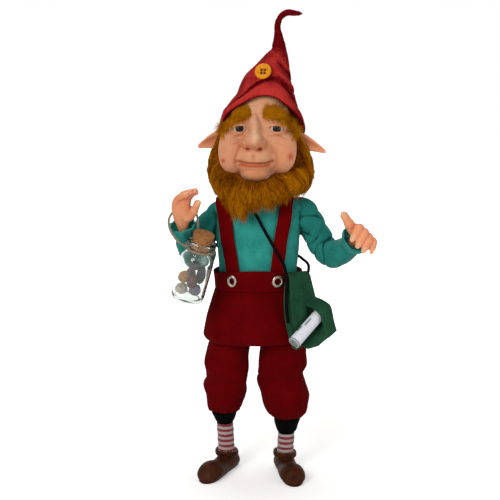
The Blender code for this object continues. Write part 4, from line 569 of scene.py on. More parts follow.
for side, leg in LEGS.items():
    foot = leg["trouser"][-1][0]
    knee = 70.0 if side == "left" else 72.0
    turned_under = [(foot - 0.7, 9.6), (foot - 0.3, 8.9), (foot + 2.5, 8.8)]

    def folds(z, a):
        """Soft waves all over, a crease at the knee, and sin(17a) gathers at the cuff."""
        waves = 0.32 * (np.sin(3 * a + z * 0.35) + np.sin(5 * a - z * 0.2))
        crease = -0.75 * bump(z - knee - 2.2 * np.sin(a + 0.5), 1.5) * (0.4 + 0.6 * np.sin(1.5 * a) ** 2)
        lower = bump(z - knee + 13 - 1.6 * np.sin(2 * a), 1.4) * bump(np.sin((a + 1.2) / 2), 0.5)
        crease = crease - 0.55 * lower
        gathers = 0.5 * np.sin(17 * a + 1.4 * np.sin(3 * a)) * bump(z - foot - 0.5, 4.2)
        return waves + crease + gathers

    outer = limb(leg["trouser"], np.linspace(108, foot, 130), 150, folds=folds)
    centre = outer[-1].mean(axis=0)
    inner = []
    for z, radius in turned_under:
        reach = (outer[-1] - centre) * (radius / leg["trouser"][-1][3])
        inner.append(centre + reach + (0, 0, z - foot))
    rings = np.concatenate([outer, np.array(inner)])
    dress(surface(f"trouser_leg_{side}", rings, ends=False), trouser_felt, "trouser_red")


# Sweater
# A fine teal jersey over the stuffed body, with set-in sleeves that wrinkle at the elbow and ruffled cuffs.

def torso_sizes(z):
    """(half width, half depth) of the jersey at a height."""
    half = spline(z, [
        (118.1, 24.5), (148.1, 26.2), (168.1, 27.8), (180, 29.6), (188, 29.8), (191, 27.6), (193.5, 23.5),
        (195.8, 17.0), (198, 11.5),
    ])
    depth = spline(z, [
        (118.1, 16.8), (148.1, 17.6), (168.1, 18.6), (178, 18.4), (188, 15.6), (193, 13.0), (196, 11.0),
        (198, 9.8),
    ])
    return half, depth


def torso_point(angle, z, grow=0.0):
    """(half sin^0.86, -depth cos^0.86, z): an oval a little squarer than an ellipse."""
    half, depth = torso_sizes(z)
    sine, cosine = np.sin(angle), np.cos(angle)
    x = (half + grow) * np.sign(sine) * np.abs(sine) ** 0.86
    y = -(depth + grow) * np.sign(cosine) * np.abs(cosine) ** 0.86
    return points_at(x, y, z)


ARMS = {
    "left": {
        "route": [
            (-19, 1, 179), (-29.4, 1.5, 177.8), (-36.2, 3, 165), (-37.2, -1, 155), (-41.5, -9, 156),
            (-45.5, -17, 164.5), (-47.6, -23, 172.5), (-49, -26.5, 180.5),
        ],
        "radii": [
            (0, 9.0), (0.16, 9.4), (0.35, 8.6), (0.5, 8.9), (0.68, 8.4), (0.82, 7.2), (0.885, 5.6),
            (0.93, 7.0), (1, 8.6),
        ],
    },
    "right": {
        "route": [
            (19, 1, 179), (31.4, 2, 179.4), (39.7, 3, 168), (44.1, 1, 159), (50, -7, 157.1),
            (56.5, -15, 161.5), (61, -21.5, 167), (64, -27.5, 172),
        ],
        "radii": [
            (0, 9.0), (0.2, 9.4), (0.42, 9.2), (0.6, 9.0), (0.74, 8.6), (0.86, 7.0), (0.93, 9.0),
            (1, 10.4),
        ],
    },
}


def arm_point(side, share):
    """The point of the arm's route at a share of its length."""
    path = route(ARMS[side]["route"], 161)
    return np.stack([np.interp(share, np.linspace(0, 1, 161), path[:, k]) for k in range(3)], axis=-1)


def sleeve_folds(s, a):
    """Slanting creases -(1 - |sin|)^3 across the sleeve, deepest in the crook, over slow waves."""
    crossing = valley(25 * s + 0.9 * np.cos(a) + 0.6 * np.sin(2 * a), 3) * bump(s - 0.56, 0.22)
    hanging = valley(1.5 * a + 9 * s, 4) * bump(s - 0.22, 0.13)
    return -0.2 * crossing - 0.15 * hanging + 0.03 * np.sin(3 * a + 14 * s) + 0.02 * np.sin(31 * s - 2 * a)


def jersey(name, dark, mid, lit):
    """Fine knitted wool: tiny stitches over soft patches, paler where it is rubbed, and darkened by painted
    shade in the hollows of its folds and on the sleeves.
    """
    mat, shader = principled(
        name, roughness=0.9, sheen_weight=0.06, sheen_roughness=0.4, specular_ior_level=0.12,
    )
    stitches = noise(mat, 0.42, 3, stretch=(0.8, 1, 1.5))
    patches = noise(mat, 9, 2)
    colour = add(
        mat, "Mix", out=2, data_type="RGBA",
        in0=add(mat, "MapRange", value=patches, from_min=0.35, from_max=0.65), in6=linear(dark),
        in7=linear(mid),
    )
    colour = add(
        mat, "Mix", out=2, data_type="RGBA",
        in0=add(mat, "MapRange", value=stitches, from_min=0.5, from_max=0.8), in6=colour, in7=linear(lit),
    )
    # painted shade in the folds' hollows and on the sleeves
    deep = add(mat, "Attribute", out=2, attribute_name="deep")
    colour = add(mat, "Mix", out=2, data_type="RGBA", in0=deep, in6=colour, in7=linear("#004840"))
    rubbed = add(mat, "Attribute", out=2, attribute_name="rubbed")
    tufts = add(
        mat, "MapRange", value=noise(mat, 1.1, 3, stretch=(2, 1, 1), distortion=1.2), from_min=0.47,
        from_max=0.6,
    )
    pale = add(mat, "Math", operation="MULTIPLY", in0=rubbed, in1=tufts)
    colour = add(mat, "Mix", out=2, data_type="RGBA", in0=pale, in6=colour, in7=linear("#c9d8d2"))
    return finish_with(mat, shader, colour, stitches, 0.15)


def hollows(obj, spots):
    """How hollow the cloth is at each point: the mean rise of its neighbours along its normal, spread along
    the edges ten times and clipped to 0..0.9."""
    edges = np.empty(len(obj.data.edges) * 2, int)
    obj.data.edges.foreach_get("vertices", edges)
    a, b = edges.reshape(-1, 2).T
    a, b = np.concatenate([a, b]), np.concatenate([b, a])
    normals = np.empty(len(spots) * 3)
    obj.data.vertex_normals.foreach_get("vector", normals)
    rise = ((spots[b] - spots[a]) * normals.reshape(-1, 3)[a]).sum(axis=1)
    share = np.maximum(np.bincount(a, minlength=len(spots)), 1)
    value = np.bincount(a, rise, len(spots)) / share
    for _ in range(10):
        value = 0.5 * value + 0.5 * np.bincount(a, value[b], len(spots)) / share
    return np.clip(value / 0.026, 0, 0.9)


def near_spot(spots, centre, width):
    """A hill of height 1 round a point."""
    return bump(np.linalg.norm(spots - np.array(centre), axis=1), width)


teal_jersey = jersey("teal_wool_jersey", "#1f8077", "#2d9187", "#44a89c")
columns = 150
angle = circle(columns, -math.pi)[None, :]
z = np.concatenate([np.linspace(130.1, 178, 90), np.linspace(178.5, 198, 50)])[:, None]
drape = 0.35 * np.sin(3 * angle + z / 7) * bump(z - 168, 20)
drape = drape - 0.55 * valley(1.5 * angle + 0.5 + z * 0.045, 5) * bump(z - 158, 13)
drape = drape - 0.5 * bump(np.abs(angle) - 1.28 + 0.01 * (z - 170), 0.05) * bump(z - 184, 12)
torso = torso_point(angle, z * np.ones((1, columns)), drape)
sleeves = []
for side in ARMS:
    share = np.linspace(0.0, 0.9, 150)
    sleeves.append(tube(arm_point(side, share), spline(share, ARMS[side]["radii"]), 80, sleeve_folds))
b = np.linspace(0.02, math.pi - 0.02, 40)[:, None]
lump = points_at(np.sin(b) * np.cos(angle), np.sin(b) * np.sin(angle), np.cos(b))
shoulders = [lump * half + centre for half, centre in (
    ((9.5, 8.0, 10.0), (-25.5, 1.0, 181.3)), ((12.5, 8.0, 10.2), (27.5, 1.0, 183.9)))]
jumper = melted("jersey_body", [torso, *sleeves, *shoulders], 0.6, smooth=3)
spots = points_of(jumper)
rubbed = sum(near_spot(spots, centre, 4.2) for centre in (
    (-51.0, -16.0, 160.0), (-40.0, -18.5, 166.0), (55.0, -18.0, 172.0), (62.5, -15.0, 158.0)))
store(jumper.data, "rubbed", np.minimum(rubbed, 1.0))
# Painted shade: the deep attribute is shade in the hollows of the folds, and more on the sides and sleeves.
painted_sleeve_shade = np.clip((np.abs(spots[:, 0] - 1) - 26) / 8, 0, 0.3)
store(jumper.data, "deep", np.minimum(hollows(jumper, spots) + painted_sleeve_shade, 1.0))
dress(jumper, teal_jersey, "sweater_teal", "sweater")
for side in ARMS:
    share = np.concatenate([np.linspace(0.87, 1.0, 46), np.linspace(0.995, 0.88, 14)])
    thin = np.concatenate([np.zeros(46), np.full(14, 1.0)])
    path = arm_point(side, np.linspace(0.87, 1.0, 46))
    beyond = np.clip((share - 0.905) / 0.095, 0, 1)
    a = circle(96)[None, :]
    ruffle = 0.13 * np.sin(9 * a + 1.1 * np.sin(2 * a)) + 0.05 * np.sin(21 * a)
    ruffle = ruffle * (0.4 if side == "left" else 0.15) * beyond[:, None] ** 0.8
    ruffle = ruffle - 0.1 * bump(share[:, None] - 0.885, 0.008)
    radii = spline(share, ARMS[side]["radii"]) - thin
    unit = tube(path, np.ones(46), 96) - path[:, None]
    order = np.concatenate([np.arange(46), np.linspace(45, 4, 14).astype(int)])
    rings = path[order][:, None] + unit[order] * (radii[:, None] * (1 + ruffle))[..., None]
    cuff = surface(f"ruffled_cuff_{side}", rings, ends=False, values={"rubbed": np.zeros(60 * 96)})
    dress(cuff, teal_jersey, "sweater_teal")


# Waistband and braces
# A folded felt band round the waist and two felt straps that are sewn inside it and pass over the shoulders.

def angle_at(x, z, grow=0.0):
    """The angle from the front at which the torso reaches an x."""
    half, _ = torso_sizes(z)
    return np.arcsin(np.clip(np.sign(x) * (np.abs(x) / (half + grow)) ** (1 / 0.86), -1.0, 1.0))


EYELETS, EYELET_Z = {"left": -17.0, "right": 12.9}, 141.3
columns = 260
angle = circle(columns, -math.pi)
section = [(1.3, 134.1 + 14.0 * share) for share in np.linspace(0, 1, 30)]  # (outwards, height)
section += [(1.0, 148.35), (0.5, 148.4), (0.0, 148.1)]
section += [(0.0, 134.3 + 13.8 * share) for share in np.linspace(1, 0, 8)]
section += [(0.6, 133.9)]
rings = []
for out, level in section:
    dip = (1.2 * (1 - np.cos(angle)) / 2 + 3.2 * np.sin(angle) ** 2) * np.clip((level - 140) / 8, 0, 1)
    wave = 0.25 * np.sin(7 * angle + 1) * (out > 0.9) + 0.5 * bump(level - 148, 2.5) * np.sin(4 * angle) ** 2
    ring = torso_point(angle, np.full(columns, level), 2.2 + out + wave * (out > 0.2))
    ring[:, 2] -= dip
    rings.append(ring)
band = np.array(rings)
for x in EYELETS.values():
    dent = bump(np.hypot(band[..., 0] - x, band[..., 2] - EYELET_Z), 2.0) * (band[..., 1] < 0)
    band[..., 1] += 1.4 * dent * (band[..., 1] < -17)
belt = surface("felt_waistband", band, loop=True)
dress(belt, trouser_felt, "trouser_red", "waistband")


STRAP_FOOT, STRAP_WIDE = 143.1, 8.4


def strap_point(line, turn, across, grow):
    """A point of a brace: turn runs from 0 at the front foot over the shoulder to pi at the back foot."""
    front, shoulder, back = line
    foot = np.where(turn < math.pi / 2, front, back)
    x = foot + (shoulder - foot) * np.sin(turn) ** 1.2 + across
    levels = np.linspace(182, 198, 60)
    halves, _ = torso_sizes(levels)
    crest = np.interp(-np.abs(x), -halves, levels)
    z = STRAP_FOOT + (crest - STRAP_FOOT) * np.sin(turn)
    half, depth = torso_sizes(z)
    share = np.clip(np.abs(x) / half, 0.0, 1.0) ** (1 / 0.86)
    y = -np.sign(np.cos(turn)) * depth * np.sqrt(np.maximum(1 - share**2, 0.0)) ** 0.86
    spot = np.stack([x, y, z], axis=-1)
    lift = np.stack([x / half**2 * 0.5, y / depth**2, np.clip((z - 180) / 10, 0, 1.5) * 0.06], axis=-1)
    lift /= np.linalg.norm(lift, axis=-1)[..., None]
    return spot + lift * grow


strap_felt = felt("wine_red_strap_felt", "#5a0003", "#740207", fibre=0.55, cloud=9.0, sheen=0.05)
for side, line in zip(("left", "right"), ((-16.2, -23.4, -9.0), (11.5, 19.0, 9.0))):
    turn = np.linspace(0.0, math.pi, 150)[:, None]
    place = np.array([-0.5, -0.497, -0.47, -0.3, -0.1, 0.1, 0.3, 0.47, 0.497, 0.5])
    edge = np.array([0.5, 0.8, 1.0, 1.04, 1.0, 1.0, 1.04, 1.0, 0.8, 0.5])
    turns = turn * np.ones(10)
    off = 0.65 + 0.6 * np.clip(np.sin(turns) * 3.0, 0.0, 1.0)
    lean = 0.2 * np.sin(turns * 9)
    high = strap_point(line, turns, place[None, :] * STRAP_WIDE + lean, (off + edge * 1.1)[..., None])
    under = (off + (1 - edge[::-1]) * 0.8)[..., None]
    low = strap_point(line, turns, place[None, ::-1] * STRAP_WIDE + lean, under)
    strap = surface(f"felt_brace_{side}", np.concatenate([high, low], axis=1))
    dress(strap, strap_felt, "trouser_red", f"brace_{side}")


# Eyelets
# Pressed metal rings with a domed flange, through the front of the band.

def metal(name, colour, rough):
    """Burnished plated metal with faint pits and a slightly uneven gloss."""
    mat, shader = principled(name, metallic=1.0)
    pits = noise(mat, 0.5, 4)
    shade = add(
        mat, "Mix", out=2, data_type="RGBA",
        in0=add(mat, "MapRange", value=pits, from_min=0.3, from_max=0.75), in6=linear(colour),
        in7=linear("#b3a79c"),
    )
    return finish_with(
        mat, shader, shade, pits, 0.02,
        rough=add(mat, "MapRange", value=pits, from_min=-rough * 2, from_max=2.2),
    )


def turned(profile, steps):
    """Rings of an (radius, height) outline turned about the third axis."""
    a = circle(steps)
    radius, height = np.array(profile, float).T
    return np.stack(
        [radius[:, None] * np.cos(a), radius[:, None] * np.sin(a), np.repeat(height[:, None], steps, 1)], -1
    )


def rounded_profile(knots, count):
    """An evenly stepped curve through the knots of an outline, lightly rounded at each."""
    return route([(x, 0, y) for x, y in knots], count)[:, [0, 2]]


def set_on(grid, spot, outwards):
    """Turns a grid's third axis to a direction and moves it to a spot."""
    turn = np.array(Vector(outwards).to_track_quat("Z", "Y").to_matrix())
    return grid @ turn.T + np.array(spot)


eyelet_metal = metal("burnished_eyelet_metal", "#5f5048", 0.1)
for side, x in EYELETS.items():
    level = np.array([EYELET_Z])
    here = angle_at(np.array([x]), level, 3.5)
    spot = torso_point(here, level, 3.5)[0]
    along = torso_point(here + 0.05, level, 3.5)[0] - torso_point(here - 0.05, level, 3.5)[0]
    outwards = np.cross(along, (0, 0, 1.0))
    outwards = outwards / np.linalg.norm(outwards) * (1 if outwards[1] < 0 else -1)
    outline = rounded_profile(
        [(1.95, -1.3), (2.2, -1.3), (2.3, 0.3), (3.9, 0.35), (4.1, 0.6), (3.7, 1.05), (2.9, 1.3), (2.2, 1.1),
         (1.9, 0.6), (1.9, -1.0)], 40)
    rounds = turned(outline, 72) * ((0.8 if side == "left" else 1.0), 1, 1)
    ring = surface(f"pressed_eyelet_{side}", set_on(rounds, spot, outwards), loop=True)
    dress(ring, eyelet_metal, "eyelet_metal", f"eyelet_{side}")


# Hands
# Soft cast hands that stick out of the cuffs: the left one hooks the bottle's twine, the right one points.

def skin(name):
    """Cast resin skin: the tint attribute, mottled and slightly translucent, with fine pores. The tint also
    carries painted highlights and painted shade on the face, ears and neck.
    """
    mat, shader = principled(
        name, roughness=0.42, subsurface_weight=0.2, subsurface_scale=0.0018, specular_ior_level=0.12,
    )
    shader.inputs["Subsurface Radius"].default_value = (1.0, 0.45, 0.25)
    tint = add(mat, "Attribute", out=0, attribute_name="tint")
    blush = noise(mat, 4.5, 3)
    fine = noise(mat, 0.9, 4)
    mottle = add(
        mat, "Mix", out=2, data_type="RGBA",
        in0=add(mat, "MapRange", value=blush, from_min=0.3, from_max=0.7), in6=(0.95, 0.92, 0.9, 1),
        in7=(1.04, 1.04, 1.04, 1),
    )
    colour = add(mat, "Mix", out=2, data_type="RGBA", blend_type="MULTIPLY", in0=1.0, in6=tint, in7=mottle)
    spotted = add(
        mat, "Mix", out=2, data_type="RGBA",
        in0=add(mat, "MapRange", value=fine, from_min=0.3, from_max=0.62), in6=(0.96, 0.9, 0.86, 1),
        in7=(1, 1, 1, 1),
    )
    colour = add(
        mat, "Mix", out=2, data_type="RGBA", blend_type="MULTIPLY", in0=0.6, in6=colour, in7=spotted,
    )
    return finish_with(
        mat, shader, colour, fine, 0.08,
        rough=add(mat, "MapRange", value=fine, from_min=-0.35, from_max=1.6),
    )


def blend(base, *layers):
    """Lays colours over a base one after another, each by its own weight: base + w (colour - base)."""
    for weight, colour in layers:
        weight = np.clip(np.asarray(weight, float), 0, 1)[..., None]
        base = base * (1 - weight) + np.array(linear(colour)) * weight
    return base


cast_skin = skin("cast_skin")


def palm(points, widths, depths, across):
    """Oval rings along a route; across is the direction of the palm's breadth."""
    path = route(points, 60)
    share = np.linspace(0, 1, 60)
    wide, deep = spline(share, widths), spline(share, depths)
    tangent = directions(path)
    broad = np.array(across) - tangent * (tangent @ np.array(across))[:, None]
    broad /= np.linalg.norm(broad, axis=1)[:, None]
    thin = np.cross(tangent, broad)
    a = circle(60)
    return path[:, None] + (wide[:, None] * np.cos(a))[:, :, None] * broad[:, None] + (
        deep[:, None] * np.sin(a))[:, :, None] * thin[:, None]


def finger(points, radii):
    """A tube with knuckles: its radius dips at two joints and swells between them."""
    path = route(points, 46)
    s = np.linspace(0, 1, 46)
    radius = spline(s, [(0, radii[0]), (0.8, radii[1]), (0.93, radii[1] * 0.92), (1, radii[1] * 0.35)])
    dips = 1 - 0.07 * bump(s - 0.38, 0.05) - 0.07 * bump(s - 0.68, 0.05)
    return tube(path, radius * (dips + 0.05 * bump(s - 0.52, 0.1)), 28)


def nail(name, points, radii):
    """An oval plate on the outer side of the last joint, as long as the fingertip is thick."""
    path = route(points, 46)
    bend = path[44] - 2 * path[34] + path[24]
    along = path[44] - path[38]
    along /= np.linalg.norm(along)
    up = -(bend - along * (bend @ along))
    up /= np.linalg.norm(up)
    beside = np.cross(along, up)
    r = np.linspace(0.02, 1, 14)[:, None]
    a = circle(36)[None, :]
    size = radii[1]
    u, v = 0.72 * size * r * np.cos(a), 1.0 * size * r * np.sin(a)
    lift = np.sqrt(np.maximum((size * 1.04) ** 2 - u**2, 0)) + 0.12 * (1 - r**4) - 0.1 * r**6
    top = path[41] + u[..., None] * beside + v[..., None] * along + lift[..., None] * up
    base = top[::-1] - up * 0.5
    return surface(name, np.concatenate([top, base]))


HANDS = {
    "left": {
        "palm": (
            [(-47.9, -24.0, 174.5), (-48.8, -26.6, 181), (-48.8, -28.6, 187), (-49.4, -29.4, 193),
             (-49.0, -30.4, 198.0)],
            [(0, 3.0), (0.25, 3.0), (0.44, 3.8), (0.59, 5.8), (0.78, 6.4), (0.93, 5.6), (1, 3.5)],
            [(0, 2.8), (0.25, 2.8), (0.48, 3.2), (0.7, 3.2), (1, 2.2)], (1, 0, 0.12),
        ),
        "fingers": [
            ([(-53.4, -29.4, 193), (-52.0, -31.4, 197.6), (-48.0, -34.6, 200.6), (-44.4, -36.6, 201.4)],
             (2.4, 1.8)),
            ([(-51.0, -29.6, 194), (-49.4, -31.2, 199.4), (-45.4, -34.2, 202.6), (-41.6, -36.4, 203.6)],
             (2.5, 1.8)),
            ([(-48.2, -29.6, 194), (-46.6, -30.4, 199.6), (-42.6, -33.2, 202.8), (-38.6, -35.0, 204.2)],
             (2.5, 1.8)),
            ([(-46.0, -29.2, 193), (-44.4, -29.4, 198.4), (-41.4, -31.2, 201.4), (-38.2, -32.6, 202.6)],
             (2.4, 1.7)),
            ([(-46.4, -29.4, 184.8), (-42.6, -32.2, 188.2), (-40.0, -34.6, 193.0), (-37.9, -35.8, 198.0)],
             (3.2, 2.3)),
        ],
    },
    "right": {
        "palm": (
            [(61.2, -21.8, 167.6), (63.4, -26.4, 171), (65.6, -31.5, 174.5), (66.6, -36.5, 176.0)],
            [(0, 3.0), (0.28, 3.0), (0.5, 3.8), (0.71, 6.6), (0.93, 6.2), (1, 3.5)],
            [(0, 3.0), (0.28, 3.0), (0.5, 3.4), (0.71, 4.2), (1, 2.5)], (0.72, 0, -0.69),
        ),
        "fingers": [
            ([(63.0, -35.0, 178.0), (64.4, -39.4, 180.8), (61.8, -43.0, 178.0), (59.6, -43.6, 173.8)],
             (3.0, 2.6)),
            ([(65.0, -35.0, 175.6), (67.6, -40.0, 178.0), (65.2, -43.6, 174.2), (62.6, -43.8, 169.8)],
             (3.0, 2.6)),
            ([(67.4, -35.0, 173.4), (70.4, -39.4, 174.8), (68.6, -42.6, 170.6), (66.2, -42.6, 166.6)],
             (2.9, 2.5)),
            ([(69.2, -34.5, 171.2), (72.8, -38.0, 172.2), (72.6, -40.6, 168.6), (71.2, -40.4, 166.0)],
             (2.8, 2.3)),
            ([(62.0, -31.0, 177.0), (58.4, -36.0, 182.0), (55.4, -38.0, 187.0), (53.2, -38.4, 190.6)],
             (3.9, 2.7)),
        ],
    },
}
for side, hand in HANDS.items():
    (points, *sizes), fingers = hand["palm"], hand["fingers"]
    rings = palm([arm_point(side, 0.809), *points], *sizes)
    cast = melted(f"cast_hand_{side}", [rings, *(finger(*parts) for parts in fingers)], 0.36, smooth=3)
    spots = points_of(cast)
    tips = sum(near_spot(spots, line[-1], 3.6) for line, _ in fingers)
    roots = sum(near_spot(spots, line[1], 3.0) for line, _ in fingers)
    palms = np.broadcast_to(np.array(linear("#dc966f" if side == "left" else "#eda077")), (len(spots), 4))
    tint = blend(palms, (0.5 * tips, "#f2a184"), (0.35 * roots, "#e2805c"))
    store(cast.data, "tint", tint)
    dress(cast, cast_skin, "skin", f"hand_{side}")
    for number, parts in enumerate(fingers):
        plate = nail(f"nail_{side}_{number + 1}", *parts)
        tint = np.tile(np.array(linear("#eeb08a")), (len(plate.data.vertices), 1))
        store(plate.data, "tint", tint)
        dress(plate, cast_skin, "skin")


# Head
# A cast head with a broad jowled face, a round nose and heavy brows; its neck is hidden in the beard.

HEAD_Y, HEAD_Z, HEAD_TALL = -2.0, 238.0, 33.0  # where the head's centre is, and half its height


def head_widths(z):
    """(centre x, half width, depth to the front, depth to the back) at a height."""
    level = np.clip((z - HEAD_Z) / HEAD_TALL, -1.0, 1.0)
    close = np.sqrt(np.maximum(1.0 - level**2, 0.0))
    half = spline(level, [
        (-1, 24), (-0.88, 28.5), (-0.67, 29.6), (-0.39, 27.6), (0.1, 22.4), (0.28, 20.7), (0.5, 20.0),
        (1, 18.0),
    ])
    front = spline(level, [
        (-1, 27), (-0.85, 28), (-0.6, 26), (-0.35, 23.5), (0, 21.0), (0.25, 19.6), (0.6, 19.6), (1, 17),
    ])
    back = spline(level, [(-1, 20), (-0.6, 24), (0, 26.5), (0.5, 25.5), (1, 20)])
    centre = spline(level, [(-1, -1.0), (0.1, 0.0), (0.8, 3.0), (1, 3.4)])
    return centre, half * close, front * close, back * close


EYES = {"left": (-11.9, -0.2, 0.1), "right": (11.5, 0.4, -0.3)}  # centre x, and where the iris sits on it
EYE_RADIUS, EYE_Y, EYE_RISE = 5.5, -16.0, 4.0
FACE_FORMS = [  # centre (x, y, height over the head's centre), half sizes, softness of the seam
    ((-3.0, -22.6, -3.2), (6.4, 14.4, 5.9), 0.55),       # ball of the nose
    ((-2.6, -16.0, 3.6), (4.5, 14.2, 10.0), 0.9),       # bridge
    ((-8.0, -19.6, -5.2), (4.1, 10.8, 3.8), 0.6),       # wings
    ((2.0, -19.6, -5.2), (4.1, 10.8, 3.8), 0.6),
    ((-17.2, -12.0, -12.5), (11.2, 14.6, 14.2), 1.0),   # cheeks
    ((16.6, -12.0, -12.5), (11.2, 14.6, 14.2), 1.0),
    ((-2.0, -14.0, -13.0), (13.6, 15.6, 10.5), 1.0),    # upper lip
    ((-1.9, -14.0, -20.8), (11.6, 13.4, 5.2), 0.9),     # lower lip
    ((-1.9, -13.0, -24.9), (10.4, 14.2, 6.0), 0.9),     # chin
    ((-12.6, -10.0, -1.9), (9.0, 10.6, 3.8), 0.8),      # bags under the eyes
    ((12.2, -10.0, -1.9), (9.0, 10.6, 3.8), 0.8),
    ((-8.8, -8.0, 12.4), (8.6, 10.8, 6.6), 1.2),        # brow ridges
    ((11.2, -8.0, 12.6), (9.8, 11.2, 6.8), 1.2),
]


def rounded(x, rise, centre, half):
    """Depth of an ellipsoid's front at (x, rise); beyond its rim it falls away quickly."""
    away = ((x - centre[0]) / half[0]) ** 2 + ((rise - centre[2]) / half[2]) ** 2
    return centre[1] + half[1] * (1.5 * np.maximum(away - 1, 0.0) - np.sqrt(np.maximum(1 - away, 0.0)))


def mouth_line(x):
    """Height of the lips' meeting line: a shallow bowl whose corners turn up."""
    return -17.7 + 1.0 * (np.abs(x + 2.2) / 11.0) ** 3.0 - 0.02 * (x + 2.2)


def creases(x, z, fine=1.0):
    """How deep the mouth, nostrils, folds and wrinkles are at (x, rise over the centre), in mm."""
    mouth = mouth_line(x)
    depth = 1.35 * bump(z - mouth, 0.55) * bump(np.maximum(np.abs(x + 2.2) - 9.6, 0), 1.4)
    depth += 1.0 * bump(np.hypot(np.abs(x + 2.2) - 11.6, z + 16.9), 1.4)
    depth += 0.7 * bump(z + 22.9 - 0.01 * x**2, 1.0) * bump(x + 1.9, 7.0)
    depth += 0.7 * bump(np.hypot((x + 3.0) / 1.1, (z + 12.6) / 2.2), 1.0)
    fold = spline(z, [(-27, 9.6), (-21, 12.4), (-16, 13.2), (-10, 11.2), (-4, 8.8), (0, 7.6)])
    depth += 1.3 * bump(np.abs(x + 1.5) - fold, 1.0) * bump(z + 13.5, 11.0)
    for side in (-1, 1):
        depth += 2.2 * bump(np.hypot((x + 3 - side * 3.5) / 1.5, z + 8.5), 1.1)
        depth += fine * 0.6 * bump(np.hypot(x + 3 - side * 7.6, (z + 4.5) / 2.2), 1.0)
    for eye, _, _ in EYES.values():
        depth += 0.9 * bump(np.hypot((x - eye) / 3.2, z - 9.2), 1.3)
        depth += fine * 0.45 * bump(z - 7.6 + 0.02 * (x - eye) ** 2, 0.45) * bump(x - eye, 4.6)
        out = np.abs(x) - 12.0
        depth += fine * 0.55 * bump(z + 0.6 + 0.05 * out + 0.03 * out**2, 0.5) * bump(out - 0.8, 5.4)
        depth += fine * 0.3 * bump(z + 5.2 + 0.05 * out**2, 0.5) * bump(out - 0.8, 4.6)
    for level, strength in ((9.0, 0.35), (11.2, 0.4), (13.6, 0.35), (16.4, 0.25), (19.0, 0.3), (21.4, 0.25)):
        wrinkle = z - level - 0.05 * x - 0.35 * np.sin(x * 0.5 + level)
        depth += strength * bump(wrinkle, 0.5) * bump(x + 1.9, 6.0)
    depth += fine * 0.25 * bump(x + 4.4 + 0.1 * (z - 8), 0.4) * bump(z - 9, 3.0)
    depth += fine * 0.25 * bump(x - 1.0 - 0.1 * (z - 8), 0.4) * bump(z - 9, 3.0)
    for k, slope in enumerate((0.5, 0.1, -0.4)):
        for side, edge in ((-1, -18.4), (1, 18.2)):
            out = side * (x - edge)
            depth += fine * 0.3 * bump(z - 4.5 + 1.6 * k - slope * out, 0.35) * bump(out - 2.2, 2.2)
    return depth


def lids(x, z, eye, bow):
    """How far inside the eye's opening a point is: 1 - |z| / (tall (1 - (x / half)^2)^0.6)."""
    out = x - eye - bow
    up = z - 3.7 + 0.08 * np.sign(eye) * out
    tall = np.where(up > 0, 2.05, 1.75) * np.maximum(1 - (out / 5.0) ** 2, 1e-6) ** 0.6
    return np.where(np.abs(out) < 5.4, 1 - np.abs(up) / np.maximum(tall, 0.05), -9.0)


def face_depth(x, z, y, grow=0.0, fine=1.0):
    """Brings the face forward over its forms and lids by a soft minimum, then cuts the creases."""
    rise = z - HEAD_Z
    for centre, half, soft in FACE_FORMS:
        form = rounded(x, rise, centre, [h + grow for h in half])
        y = -soft * np.logaddexp(-y / soft, -form / soft)
    lid = EYE_RADIUS + 1.25 + grow
    for eye, _, _ in EYES.values():
        form = rounded(x, rise, (eye, EYE_Y, EYE_RISE), (lid, lid, lid))
        y = -0.4 * np.logaddexp(-y / 0.4, -form / 0.4)
    y = y + creases(x, rise, fine)
    mouth = mouth_line(x)
    y = y - 0.85 * fine * bump(rise - mouth + 1.6, 1.0) * bump(np.maximum(np.abs(x + 2.2) - 4.5, 0), 3.4)
    return y - 0.35 * fine * bump(rise - mouth - 1.0, 0.7) * bump(np.maximum(np.abs(x + 2.2) - 5.5, 0), 3.2)


def head_point(angle, z, grow=0.0, fine=1.0):
    """A point on the head at an angle from the front (towards +x) and a height."""
    centre, half, front, back = head_widths(z)
    depth = np.where(np.cos(angle) > 0, front, back)
    x = centre + (half + grow) * np.sin(angle)
    y = HEAD_Y - (depth + grow) * np.cos(angle)
    fade = np.clip(np.cos(angle) * 5.0, 0.0, 1.0)
    y = y * (1 - fade) + face_depth(x, z, y, grow, fine) * fade
    return points_at(x, y, z)


columns = 300
turn = circle(columns, -math.pi)
angle = (turn - 0.52 * np.sin(turn))[None, :]
level = np.sin(np.linspace(-math.pi / 2, math.pi / 2, 120))
level = np.unique(np.concatenate([level[1:-1], np.linspace(-0.85, 0.45, 180)]))
z = (HEAD_Z + HEAD_TALL * level)[:, None] * np.ones((1, columns))
shape = head_point(angle, z)
x, rise, front = shape[..., 0], z - HEAD_Z, np.cos(angle) * np.ones_like(z) > 0.1
inside_lids = np.zeros_like(z)
for eye, _, _ in EYES.values():
    inside = lids(x, rise, eye, 0.25 * np.sign(eye)) * front
    inside_lids = np.maximum(inside_lids, np.where(front, inside, -9))
    rim = bump(inside + 0.1, 0.16) * (np.abs(x - eye) < 6) * front
    shape[..., 1] -= 0.22 * rim
    shape[..., 1] = np.where((inside > 0.02) & front, np.maximum(shape[..., 1], -16.6), shape[..., 1])
mouth = mouth_line(x)
# The face's tints, with painted highlights on the nose and painted shade in the mouth, nostrils and creases.
face_tint_with_painted_light = np.broadcast_to(np.array(linear("#fcc99e")), (*z.shape, 4))
freckles = np.random.default_rng(3)
dots = sum(
    bump(np.hypot(x - a, rise - b), c)
    for a, b, c in zip(
        freckles.normal(-1, 5, 26), freckles.normal(15, 5, 26), freckles.uniform(0.25, 0.5, 26)
    )
)
